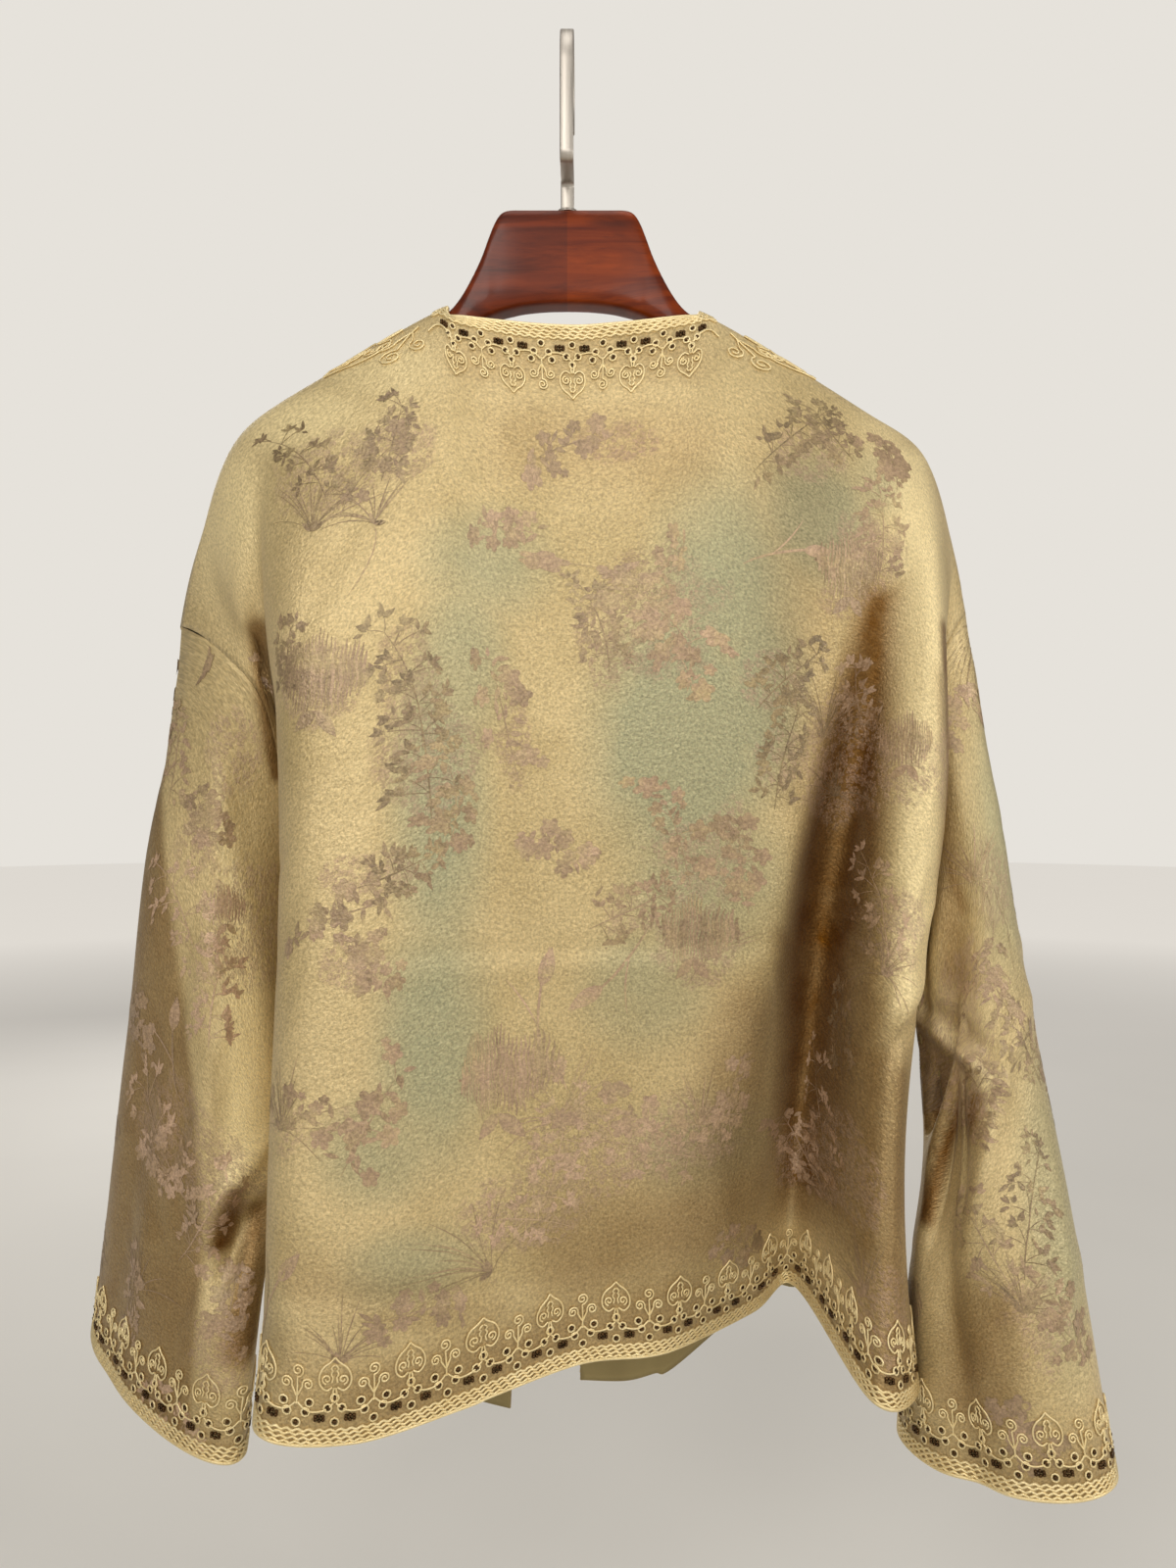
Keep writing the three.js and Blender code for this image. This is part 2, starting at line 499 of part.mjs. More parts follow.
function stripRings(line) {
  const w = HOOK_WIDTH / 2;
  const t = HOOK_THICK / 2;
  const c = 0.5;
  const section = [[w - c, -t], [w, -t + c], [w, t - c], [w - c, t], [-w + c, t], [-w, t - c], [-w, -t + c], [-w + c, -t]];
  return line.map(([y, z], i) => {
    const [y0, z0] = line[Math.max(i - 1, 0)];
    const [y1, z1] = line[Math.min(i + 1, line.length - 1)];
    const length = Math.hypot(y1 - y0, z1 - z0);
    const [ny, nz] = [-(z1 - z0) / length, (y1 - y0) / length];
    return section.map(([sx, st]) => vec(sx, y + ny * st, z + nz * st));
  });
}
add("hook", loft(stripRings(hookLine())), STEEL);

const collar = new THREE.CylinderGeometry(5.6, 6.4, 1.8, 24).rotateX(Math.PI / 2);
add("hook_collar", collar.translate(0, 0, WOOD_TOP + 0.3 + 0.9), STEEL);

export default part;
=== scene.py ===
"""A silk jacquard cardigan jacket on a wooden hanger: cloth, corded borders and finishes."""
import math

import bmesh
import bpy
import numpy as np
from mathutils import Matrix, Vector


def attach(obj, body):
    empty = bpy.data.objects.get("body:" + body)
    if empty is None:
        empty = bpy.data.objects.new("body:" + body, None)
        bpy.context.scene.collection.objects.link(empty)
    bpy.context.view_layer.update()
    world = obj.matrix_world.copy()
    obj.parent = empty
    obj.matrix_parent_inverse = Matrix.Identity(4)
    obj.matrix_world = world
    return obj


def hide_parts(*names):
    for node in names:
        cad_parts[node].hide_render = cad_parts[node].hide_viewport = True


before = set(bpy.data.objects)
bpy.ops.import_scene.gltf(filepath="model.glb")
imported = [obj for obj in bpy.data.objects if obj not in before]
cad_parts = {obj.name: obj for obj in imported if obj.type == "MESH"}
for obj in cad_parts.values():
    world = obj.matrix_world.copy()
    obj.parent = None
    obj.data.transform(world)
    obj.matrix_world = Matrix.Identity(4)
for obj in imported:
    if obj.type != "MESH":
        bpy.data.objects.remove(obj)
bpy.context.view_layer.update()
MM = 0.001

# ------------------------------------------------------------------ garment tables (mm)
# The shoulders' line over the hanger: its fall per mm, its peak, and its bow towards the front.
SLOPE, PEAK = 0.52, -114.0
BOW, BOW_START, BOW_REACH = 25, 60, 130


def ridge_y(x):
    return BOW * max(0.0, (abs(x) - BOW_START) / BOW_REACH) ** 2


def ridge_z(x):
    return PEAK - SLOPE * abs(x)


# How far down a panel each of its eight levels lies, and the level of the underarm.
LEVELS = np.array([0, 0.028, 0.104, 0.225, 0.372, 0.536, 0.761, 1])
UNDERARM = 5

# Each line of a panel: top and hem heights, then x and y at every level.
BACK = [
    (-324, -738, [-227, -202, -172, -166, -166, -167, -162, -158], [30, 6, -2, 22, 44, 52, 50, 46]),
    (-269, -736, [-214, -205, -184, -163, -158, -158, -160, -158], [30, 14, -12, 4, 5, 8, 5, 0]),
    (ridge_z(191), -733,
     [-191, -190, -166, -154, -147, -146, -149, -150], [26, 7, -22, -46, -58, -66, -76, -85]),
    (ridge_z(134), -741,
     [-134, -134, -128, -118, -108, -104, -104, -105], [8, -9, -30, -50, -62, -70, -78, -80]),
    (ridge_z(72), -734, [-72, -72, -68, -64, -60, -57, -55, -54], [0, -13, -28, -43, -52, -58, -62, -62]),
    (-159, -731, [-60, -59, -54, -48, -42, -38, -36, -35], [-13, -18, -29, -40, -48, -53, -54, -52]),
    (-167, -725, [4, 4, 5, 5, 6, 7, 8, 8], [-20, -23, -29, -35, -40, -42, -38, -32]),
    (-159, -727, [66, 65, 60, 55, 51, 49, 47, 45], [-13, -18, -29, -36, -40, -40, -33, -20]),
    (ridge_z(79), -728, [79, 79, 78, 76, 74, 72, 70, 67], [0, -13, -26, -34, -38, -36, -24, -4]),
    (ridge_z(137), -725, [137, 137, 136, 134, 128, 121, 113, 108], [9, -8, -24, -32, -32, -24, 0, 30]),
    (ridge_z(173), -717, [173, 174, 175, 178, 163, 151, 142, 136], [19, -1, -20, -14, 2, 20, 38, 48]),
    (ridge_z(198), -730, [200, 199, 197, 196, 190, 176, 162, 157], [27, 8, -18, -30, -38, -46, -54, -62]),
    (-236, -741, [213, 213, 209, 210, 209, 196, 184, 187], [30, 16, -4, -10, -14, -16, -20, -32]),
    (-273, -740, [227, 224, 219, 208, 208, 198, 181, 183], [40, 28, 16, 3, -1, 0, 8, 0]),
    (-316, -738, [234, 223, 208, 206, 207, 199, 178, 178], [35, 22, 20, 16, 12, 15, 32, 30]),
]
FRONT_LEFT = [
    (-324, -738, [-227, -224, -214, -200, -184, -167, -162, -158], [30, 46, 64, 78, 76, 52, 50, 46]),
    (-269, -742, [-214, -212, -200, -182, -170, -160, -158, -155], [30, 45, 62, 78, 88, 84, 86, 84]),
    (ridge_z(191), -750, [-191, -190, -180, -165, -152, -145, -142, -140], [26, 44, 62, 82, 93, 98, 100, 98]),
    (ridge_z(134), -770, [-134, -134, -128, -118, -108, -104, -100, -98], [8, 23, 40, 58, 70, 78, 82, 78]),
    (ridge_z(72), -786, [-72, -72, -70, -68, -68, -68, -70, -72], [0, 12, 26, 42, 54, 62, 66, 60]),
    (-163, -788, [-64, -64, -62, -60, -60, -60, -62, -64], [14, 18, 27, 40, 50, 57, 61, 56]),
    (-205, -789, [-50, -50, -47, -44, -43, -44, -47, -50], [22, 24, 29, 37, 45, 51, 54, 50]),
    (-238, -790, [-8, -8, -10, -13, -18, -23, -29, -35], [26, 27, 30, 36, 41, 45, 47, 45]),
]
FRONT_RIGHT = [
    (-238, -773, [10, 10, 10, 9, 8, 8, 7, 7], [26, 27, 30, 36, 41, 45, 47, 45]),
    (-205, -776, [52, 52, 49, 44, 39, 36, 35, 34], [22, 24, 29, 37, 45, 51, 54, 50]),
    (-166, -773, [71, 71, 69, 65, 62, 58, 55, 52], [14, 18, 27, 39, 48, 54, 57, 53]),
    (ridge_z(79), -770, [79, 79, 77, 74, 71, 68, 66, 64], [0, 12, 26, 40, 50, 57, 60, 55]),
    (ridge_z(137), -736, [137, 137, 135, 131, 128, 126, 124, 122], [9, 24, 40, 57, 69, 76, 84, 82]),
    (ridge_z(173), -733, [173, 173, 170, 161, 156, 151, 145, 142], [19, 35, 51, 67, 76, 79, 84, 82]),
    (ridge_z(198), -730, [200, 199, 196, 188, 184, 178, 166, 162], [27, 44, 60, 74, 80, 80, 80, 78]),
    (-236, -733, [213, 213, 209, 201, 197, 190, 173, 170], [30, 46, 62, 75, 77, 67, 71, 69]),
    (-273, -736, [227, 226, 220, 212, 208, 199, 178, 176], [40, 52, 66, 74, 70, 50, 58, 56]),
    (-316, -738, [234, 232, 227, 221, 214, 199, 178, 178], [35, 50, 62, 66, 54, 15, 32, 30]),
]
# Rings down a sleeve: x, y, z, half width, half depth, turn, rise.
SLEEVE_LEFT = [
    (-204, 33, -503, 35, 33, 4, 87),
    (-214, 27, -601, 52, 28, 29, 49),
    (-224, 23, -681, 67, 25, 40, 29),
    (-234, 22, -764, 80, 23, 44, 13),
]
SLEEVE_RIGHT = [
    (225, 18, -503, 20, 30, -4, 85),
    (233, 10, -601, 30, 40, -32, 49),
    (234, -6, -680, 43, 43, -45, 31),
    (238, -18, -779, 57, 43, -42, 2),
]
# Deep folds of the sleeves: around, down, lean, wide, long (shares of it) and depth (mm).
ELBOWS = {
    "sleeve_left": [(0.13, 0.5, 0.1, 0.07, 0.1, -9), (0.3, 0.62, 0, 0.035, 0.35, 4)],
    "sleeve_right": [
        (0.12, 0.3, -0.25, 0.05, 0.07, -13), (0.16, 0.14, 0, 0.05, 0.06, 7),
        (0.24, 0.8, 0.1, 0.035, 0.3, -9),
    ],
}
# Creases seen from behind: x, z, half length, half width (mm), lean (degrees) and depth (mm).
CREASES = {
    "back": [
        (20, -503, 115, 5, 0, -1.5), (20, -511, 115, 8, 0, 1.0), (-78, -672, 70, 5, -5, -1.4),
        (-70, -681, 66, 7, -5, 0.9), (-146, -452, 26, 3.5, 62, -1.3), (-140, -488, 30, 3.5, 68, -1.2),
        (-138, -520, 22, 3, 74, -1.0), (-132, -430, 20, 3, 55, 0.9), (176, -470, 34, 5, 58, -2.4),
        (184, -500, 30, 4, 48, 2.0), (172, -518, 38, 5, 66, -2.2), (160, -545, 44, 5, 74, 1.8),
        (150, -430, 46, 7, 80, 1.5), (-173, -350, 80, 6, 88, -9), (176, -550, 20, 5, 35, -4),
        (180, -532, 24, 8, 35, 3), (172, -420, 110, 9, 86, 3.5), (140, -470, 130, 16, 77, -6),
        (-40, -330, 70, 12, 82, 1.2), (64, -300, 60, 13, 97, -1.3), (-66, -600, 60, 12, 86, 1.6),
        (30, -610, 66, 14, 92, -1.8), (84, -650, 50, 10, 100, 1.6), (-116, -640, 40, 9, 84, -1.4),
        (-20, -690, 34, 8, 95, 1.3), (120, -640, 60, 8, 82, -2.0), (-34, -232, 12, 4, 90, 0.8),
        (-8, -236, 13, 4, 88, -0.7), (18, -236, 13, 4, 92, 0.8), (44, -232, 12, 4, 90, -0.7),
        (-118, -250, 40, 9, 40, -0.9), (110, -260, 44, 9, -42, 1.0),
    ],
    "sleeve_left": [
        (-180, -668, 26, 8, 60, -11), (-188, -640, 28, 6, 52, 4), (-198, -560, 170, 8, 91, 2.5),
        (-217, -580, 150, 11, 92, -2.0), (-196, -420, 60, 6, 84, 2.0), (-214, -520, 50, 7, 80, -2.0),
        (-206, -610, 44, 6, 70, 1.8), (-230, -660, 40, 8, 100, -1.6), (-186, -660, 26, 5, 60, -2.2),
        (-196, -690, 34, 6, 74, 1.8),
    ],
    "sleeve_right": [
        (203, -620, 50, 10, 84, -13), (214, -562, 24, 5, -40, 6), (224, -612, 42, 5, 74, 6),
        (215, -551, 24, 5, -40, -3), (222, -420, 60, 6, 96, 1.8), (236, -500, 46, 6, 84, -1.8),
        (240, -560, 36, 5, 52, 2.0), (250, -640, 50, 8, 84, -2.0), (232, -700, 40, 7, 98, 1.8),
        (262, -720, 34, 6, 80, -1.4),
    ],
    "front_left": [],
    "front_right": [],
}
# How many small loose wrinkles each cloth has, and how many cells in from its edge it moves freely.
WRINKLES = {"back": 34, "front_left": 16, "front_right": 16, "sleeve_left": 26, "sleeve_right": 26}
HELD_CELLS = 9


# ------------------------------------------------------------------ cloth surfaces
def weights_at(f):
    """Weights of the four nearest points for places f (0 to 1) between the middle two."""
    return np.stack([
        (-f ** 3 + 2 * f * f - f) / 2, (3 * f ** 3 - 5 * f * f + 2) / 2,
        (-3 * f ** 3 + 4 * f * f + f) / 2, (f ** 3 - f * f) / 2,
    ], axis=1)


def catmull(controls, t):
    """Points of the curve through controls[1:-1], or through each row's own controls."""
    i = np.clip(np.floor(t).astype(int), 0, controls.shape[-2] - 4)
    weights = weights_at(t - i)
    picks = i[:, None] + np.arange(4)
    near = controls[picks] if controls.ndim == 2 else controls[np.arange(len(t))[:, None], picks]
    return np.einsum("nk,nkc->nc", weights, near)


def beyond(p, q):
    return 2 * p - q


def lines_of(table):
    """A panel's named lines from neck or shoulder to hem, as points at every level."""
    return [
        np.stack([np.array(x, float), np.array(y, float), top + (hem - top) * LEVELS], axis=1)
        for top, hem, x, y in table
    ]


def down_line(line, fellow):
    """The curve down one line, that comes over the shoulder from the other panel's line."""
    above = beyond(line[0], line[1]) if fellow is None else fellow[1]
    curve = np.vstack([above, line, beyond(line[-1], line[-2])])
    return lambda level: catmull(curve, level)


def seam_line(own, other):
    """A side line: its own down to the underarm, and shared with the other panel below it."""
    shared = own.copy()
    shared[:UNDERARM] = (own[:UNDERARM] + other[:UNDERARM]) / 2
    armhole, side = down_line(own, other), down_line(shared, None)
    return lambda level: np.where((level < UNDERARM)[:, None], armhole(level), side(level))


def armhole_share(level):
    return 0.5 * (1 - np.interp(level, range(8), LEVELS) / LEVELS[UNDERARM])


def ring_point(ring, side, around):
    """Points of a sleeve's ring, from its outer side (0) round to it again (1)."""
    x, y, z, half, depth, turn, rise = ring
    angle = math.pi * (1 - 2 * around)
    turn = math.radians(turn)
    flat, deep = half * np.cos(angle), depth * np.sin(angle)
    return np.stack([
        x + side * (flat * math.cos(turn) + deep * math.sin(turn)),
        y + flat * math.sin(turn) - deep * math.cos(turn),
        z + rise * np.cos(angle),
    ], axis=1)


def across_seam(ring, side, on_back, other_cap):
    """The line just past a panel's side seam: in the sleeve above the underarm, in the panel below."""
    cap = down_line(other_cap, None)

    def point(level):
        share = armhole_share(np.clip(level, 0, UNDERARM))
        sleeve = ring_point(ring, side, share if on_back else 1 - share)
        return np.where((level < UNDERARM)[:, None], sleeve, cap(level))

    return point


def panel(lines, fellows, seam_left, seam_right, corners):
    """The smooth surface through a panel's lines, u across and level down."""
    columns = []
    for i, line in enumerate(lines):
        at_seam = (i == 0 and seam_left) or (i == len(lines) - 1 and seam_right)
        columns.append((seam_line if at_seam else down_line)(line, fellows[i]))

    def surface(u, level):
        row = np.stack([column(level) for column in columns], axis=1)
        for line, after, other in corners:
            on_shoulder = (u < line) if after > line else (u > line)
            share = np.where((level < 1) & on_shoulder, (1 - level) / 2, 0)[:, None]
            row[:, after] = row[:, after] * (1 - share) + other * share
        first = seam_left(level) if seam_left else beyond(row[:, 0], row[:, 1])
        last = seam_right(level) if seam_right else beyond(row[:, -1], row[:, -2])
        return catmull(np.concatenate([first[:, None], row, last[:, None]], axis=1), u)

    return surface


def sleeve(rings, side, back_seam, back_cap, front_seam, front_cap):
    """The smooth tube from the armhole down through a sleeve's rings."""
    halves = {
        True: (down_line(back_seam, front_seam), down_line(back_cap, None)),
        False: (down_line(front_seam, back_seam), down_line(front_cap, None)),
    }

    def surface(around, t):
        turned = np.mod(around, 1)
        on_back = turned <= 0.5
        share = np.where(on_back, turned, 1 - turned)
        level = np.interp((1 - 2 * share) * LEVELS[UNDERARM], LEVELS, range(8))
        seam, cap = [
            np.where(on_back[:, None], halves[True][k](level), halves[False][k](level)) for k in (0, 1)
        ]
        down = [ring_point(ring, side, turned) for ring in rings]
        down.append(beyond(down[-1], down[-2]))
        return catmull(np.stack([cap, seam, *down], axis=1), t)

    return surface


STEP = 0.02  # of u and v, for slopes


def slope(surface, u, v, du, dv):
    return surface(u + du * STEP, v + dv * STEP) - surface(u - du * STEP, v - dv * STEP)


def normals(surface, u, v):
    n = np.cross(slope(surface, u, v, 0, 1), slope(surface, u, v, 1, 0))
    return n / np.maximum(np.linalg.norm(n, axis=1, keepdims=True), 1e-9)


def pressed(surface, span_u, span_v, folds):
    """The same surface with a few deep folds pressed in."""
    def folded(u, v):
        push = np.zeros(len(u))
        for across, down, lean, wide, long, depth in folds:
            a = (u / span_u - across - lean * (v / span_v - down)) / wide
            d = (v / span_v - down) / long
            push += depth * np.exp(-a * a - d * d)
        return surface(u, v) + normals(surface, u, v) * push[:, None]

    return folded


def draped(node, surface, spans, cells, easing, closed=False):
    """The same surface held on a fine grid: eased inside its edges, then creased."""
    columns, rows = cells
    u, v = np.linspace(0, spans[0], columns + 1), np.linspace(0, spans[1], rows + 1)
    grid = surface(np.repeat(u, rows + 1), np.tile(v, columns + 1)).reshape(columns + 1, rows + 1, 3)
    i, j = np.arange(columns + 1)[:, None], np.arange(rows + 1)[None, :]
    if closed:
        inside = np.minimum(j, rows - j) + 0 * i
    else:
        inside = np.minimum(np.minimum(i, columns - i), np.minimum(j, rows - j))
    hold = np.clip(inside / HELD_CELLS, 0, 1)[:, :, None]
    for _ in range(easing):
        mean = grid.copy()
        mean[1:-1, 1:-1] = (grid[:-2, 1:-1] + grid[2:, 1:-1] + grid[1:-1, :-2] + grid[1:-1, 2:]) / 4
        grid = grid + (mean - grid) * hold

    if closed:
        ring = np.concatenate([grid[-2:-1], grid, grid[1:2]])
        across = (ring[2:] - ring[:-2]) / 2
    else:
        across = np.gradient(grid, axis=0)
    facing = np.cross(np.gradient(grid, axis=1), across)
    facing /= np.maximum(np.linalg.norm(facing, axis=2, keepdims=True), 1e-9)
    seen = np.clip(-facing[:, :, 1] * OUTWARD[node] * 2.5, 0, 1)
    random = np.random.default_rng(len(node) * 7 + columns)
    low, high = grid.reshape(-1, 3).min(axis=0), grid.reshape(-1, 3).max(axis=0)
    loose = [
        (random.uniform(low[0], high[0]), random.uniform(low[2], high[2]), random.uniform(14, 48),
         random.uniform(3, 8), random.normal(90, 28), random.normal(0, 0.75))
        for _ in range(WRINKLES[node])
    ]
    push = np.zeros(grid.shape[:2])
    for part, mask in ((CREASES[node], seen), (loose, 1.0)):
        for x, z, long, wide, lean, depth in part:
            dx, dz = grid[:, :, 0] - x, grid[:, :, 2] - z
            c, s = math.cos(math.radians(lean)), math.sin(math.radians(lean))
            along, off = (dx * c + dz * s) / long, (dz * c - dx * s) / wide
            push += mask * depth * np.exp(-along ** 2 - off ** 2)
    grid = grid + facing * (push * OUTWARD[node] * hold[:, :, 0])[:, :, None]

    if closed:
        first, last = grid[-2:-1], grid[1:2]
    else:
        first, last = beyond(grid[:1], grid[1:2]), beyond(grid[-1:], grid[-2:-1])
    grid = np.concatenate([first, grid, last])
    above, below = beyond(grid[:, :1], grid[:, 1:2]), beyond(grid[:, -1:], grid[:, -2:-1])
    grid = np.concatenate([above, grid, below], axis=1)
    four = np.arange(4)

    def point(u_at, v_at):
        share = np.mod(u_at / spans[0], 1) if closed else np.clip(u_at / spans[0], 0, 1)
        a, b = share * columns, np.clip(v_at / spans[1], 0, 1) * rows
        i, j = np.minimum(a.astype(int), columns - 1), np.minimum(b.astype(int), rows - 1)
        near = grid[(i[:, None] + four)[:, :, None], (j[:, None] + four)[:, None, :]]
        return np.einsum("na,nb,nabc->nc", weights_at(a - i), weights_at(b - j), near)

    return point


back, left, right = lines_of(BACK), lines_of(FRONT_LEFT), lines_of(FRONT_RIGHT)
back_fellows = left[:5] + [None] * 3 + right[3:]
left_fellows = back[:5] + [None] * 3
right_fellows = [None] * 3 + back[8:]

left_back_seam = across_seam(SLEEVE_LEFT[0], -1, True, left[1])
right_back_seam = across_seam(SLEEVE_RIGHT[0], 1, True, right[8])
left_front_seam = across_seam(SLEEVE_LEFT[0], -1, False, back[1])
right_front_seam = across_seam(SLEEVE_RIGHT[0], 1, False, back[13])
neck_points = [(4, 5, left[5][0]), (8, 7, right[2][0])]
# Which way a surface's normal has to turn to point outwards, and how far its u and v run.
OUTWARD = {"back": 1, "front_left": -1, "front_right": -1, "sleeve_left": -1, "sleeve_right": 1}
SPANS = {
    "back": (14, 7), "front_left": (7, 7), "front_right": (9, 7),
    "sleeve_left": (1, 4), "sleeve_right": (1, 4),
}
SURFACES = {
    "back": draped(
        "back", panel(back, back_fellows, left_back_seam, right_back_seam, neck_points),
        SPANS["back"], (210, 161), 46),
    "front_left": draped(
        "front_left", panel(left, left_fellows, left_front_seam, None, [(4, 5, back[5][0])]),
        SPANS["front_left"], (84, 154), 20),
    "front_right": draped(
        "front_right", panel(right, right_fellows, None, right_front_seam, [(3, 2, back[7][0])]),
        SPANS["front_right"], (90, 154), 20),
    "sleeve_left": draped(
        "sleeve_left", pressed(
            sleeve(SLEEVE_LEFT, -1, back[0], back[1], left[0], left[1]), 1, 4, ELBOWS["sleeve_left"]),
        SPANS["sleeve_left"], (120, 120), 2, True),
    "sleeve_right": draped(
        "sleeve_right", pressed(
            sleeve(SLEEVE_RIGHT, 1, back[14], back[13], right[9], right[8]), 1, 4, ELBOWS["sleeve_right"]),
        SPANS["sleeve_right"], (120, 120), 2, True),
}
HALF_WALL = 0.75


def lengths(points):
    return np.concatenate([[0], np.cumsum(np.linalg.norm(np.diff(points, axis=0), axis=1))])


def even_steps(surface, span, other, across):
    """Parameter against length along one line of a surface, for even mesh steps."""
    t = np.linspace(0, span, 200)
    fixed = np.full(200, float(other))
    points = surface(t, fixed) if across else surface(fixed, t)
    return t, lengths(points)


# ------------------------------------------------------------------ where the weave changes, and where shade and light are painted
# Soft ellipses over the garment: x, z, half width, half height (mm) and strength.
SAGE = [
    (-42, -300, 38, 34, 0.55), (-64, -425, 26, 92, 0.7), (-66, -545, 30, 66, 0.7),
    (62, -392, 50, 78, 0.85), (-54, -352, 26, 50, 0.6), (86, -312, 44, 64, 0.7),
    (134, -272, 34, 40, 0.75), (74, -468, 48, 52, 0.6), (104, -365, 26, 64, 0.75),
    (42, -524, 38, 38, 0.5), (166, -252, 22, 22, 0.45), (-92, -598, 32, 30, 0.5),
    (74, -612, 44, 32, 0.45), (-76, -658, 36, 22, 0.5), (248, -440, 26, 90, 0.55),
    (262, -640, 26, 90, 0.5), (-150, -690, 22, 40, 0.25),
]
# Strips of painted shade, and a few brown patches of the weave itself: from x, z to x, z, half width at each
# end (mm) and strength.
BROWN_AND_SHADE_STRIPS = [
    (172, -312, 150, -440, 10, 18, 0.5), (176, -570, 166, -720, 8, 22, 0.6),
    (128, -250, 120, -420, 34, 10, 0.28), (10, -664, 84, -650, 34, 40, 0.5),
    (100, -540, 80, -640, 20, 34, 0.45), (-20, -232, 60, -236, 26, 26, 0.32),
    (-50, -184, 62, -184, 18, 18, 0.3), (-100, -722, 60, -700, 20, 24, 0.5),
    (-150, -690, -120, -720, 20, 18, 0.3), (-128, -660, -40, -690, 16, 16, 0.25),
    (-172, -330, -168, -412, 7, 3, 0.8), (-174, -655, -176, -720, 6, 12, 0.8),
    (-190, -668, -182, -640, 6, 5, 1.0), (222, -690, 214, -740, 16, 20, 0.6),
    (240, -760, 280, -780, 20, 20, 0.4), (206, -360, 214, -520, 8, 10, 0.6),
    (206, -330, 210, -440, 4, 4, 0.9), (210, -440, 219, -485, 4, 4, 0.7),
    (221, -584, 198, -655, 4, 6, 1.0),
]
# Planes of painted shade, dark brown where the cloth turns from the light: corners (x, z), strength and how
# soft their edge is (mm).
SHADE_PLANES = [
    ([(162, -308), (181, -308), (177, -395), (171, -450), (164, -516), (122, -516), (128, -457), (141, -385)],
     1.0, 8),
    ([(120, -500), (165, -500), (161, -600), (158, -660), (122, -660), (120, -600)], 0.95, 10),
    ([(121, -530), (150, -530), (178, -560), (178, -640), (160, -676), (116, -672)], 0.62, 12),
    ([(-250, -318), (-218, -322), (-207, -375), (-202, -466), (-196, -600), (-198, -650), (-190, -700),
      (-190, -830), (-300, -830), (-300, -500)], 0.64, 3),
    ([(194, -550), (204, -550), (222, -572), (219, -590), (197, -640)], 0.6, 3),
]
# Planes, strips and ellipses of painted light, where the cloth is paler, each the same way.
LIT_PLANES = [
    ([(-212, -336), (-172, -350), (-164, -640), (-192, -652), (-194, -560), (-199, -466), (-205, -375)],
     1.0, 4),
    ([(178, -225), (206, -225), (210, -400), (206, -535), (174, -535)], 0.54, 7),
]
LIT_STRIPS = [(201, -545, 224, -576, 4, 5, 0.8), (225, -574, 223, -600, 5, 3, 0.5)]
LIT_SPOTS = [
    (-194, -262, 30, 46, 0.6), (-150, -214, 44, 22, 0.6), (-104, -190, 40, 20, 0.4), (176, -226, 24, 30, 0.3),
]
# Soft ellipses where the weave's small scattered figures gather.
SPRAYS = [
    (-128, -250, 36, 32, 1), (-94, -236, 26, 24, 0.9), (-82, -362, 20, 32, 0.9), (-70, -402, 30, 36, 1),
    (-26, -398, 14, 34, 0.7), (48, -325, 44, 44, 0.9), (22, -340, 20, 30, 0.9), (26, -232, 30, 14, 0.8),
    (130, -236, 30, 18, 0.9), (160, -292, 26, 26, 1), (150, -314, 20, 16, 0.9), (110, -360, 20, 20, 1),
    (114, -404, 20, 20, 1), (150, -402, 30, 44, 1), (180, -405, 20, 26, 0.9), (-128, -364, 30, 26, 1),
    (-98, -462, 30, 14, 0.9), (-108, -508, 20, 16, 0.9), (-128, -586, 40, 20, 0.6), (72, -458, 36, 32, 0.9),
    (72, -504, 28, 26, 1), (32, -484, 26, 15, 0.7), (-30, -566, 26, 24, 0.8), (12, -612, 46, 32, 1),
    (-20, -638, 42, 26, 1), (62, -606, 52, 26, 0.8), (150, -624, 20, 30, 1), (130, -638, 16, 20, 0.9),
    (166, -690, 20, 32, 0.9), (176, -494, 20, 30, 0.9), (-40, -670, 40, 16, 0.5), (-188, -396, 20, 32, 0.9),
    (-184, -498, 24, 46, 1), (-218, -612, 32, 36, 1), (-192, -634, 26, 30, 0.9), (-188, -726, 20, 26, 0.9),
    (-214, -448, 20, 32, 0.7), (206, -406, 16, 34, 0.7), (234, -470, 16, 32, 0.8), (214, -566, 22, 44, 0.9),
    (244, -690, 26, 34, 0.8), (222, -520, 20, 30, 0.6), (-60, -280, 30, 24, 0.4), (88, -440, 14, 20, 0.8),
    (-150, -440, 14, 40, 0.5),
]
def ellipses(x, z, patches):
    value = np.zeros(len(x))
    for cx, cz, wide, high, strength in patches:
        r = ((x - cx) / wide) ** 2 + ((z - cz) / high) ** 2
        value = np.maximum(value, strength * np.exp(-r ** 1.5))
    return value


def strips(x, z, marks):
    value = np.zeros(len(x))
    for x0, z0, x1, z1, wide0, wide1, strength in marks:
        dx, dz = x1 - x0, z1 - z0
        t = np.clip(((x - x0) * dx + (z - z0) * dz) / (dx * dx + dz * dz), 0, 1)
        off = np.hypot(x - x0 - t * dx, z - z0 - t * dz) / (wide0 + (wide1 - wide0) * t)
        value = np.maximum(value, strength * np.exp(-off ** 2.6))
    return value


def planes(x, z, marks):
    value = np.zeros(len(x))
    for corners, strength, soft in marks:
        ring = np.array(corners, float)
        middle = ring.mean(axis=0)
        depth = np.full(len(x), 1e9)
        for (x0, z0), (x1, z1) in zip(ring, np.roll(ring, -1, axis=0)):
            nx, nz = z1 - z0, x0 - x1
            size = math.hypot(nx, nz) * (1 if (middle[0] - x0) * nx + (middle[1] - z0) * nz > 0 else -1)
            depth = np.minimum(depth, ((x - x0) * nx + (z - z0) * nz) / size)
        value = np.maximum(value, strength * np.clip(depth / soft * 0.5 + 0.5, 0, 1))
    return value


# ------------------------------------------------------------------ cloth pieces
BORDER_SHADE, BORDER_BAND = 0.42, 46  # painted shade in the band behind a border: strength and depth (mm)
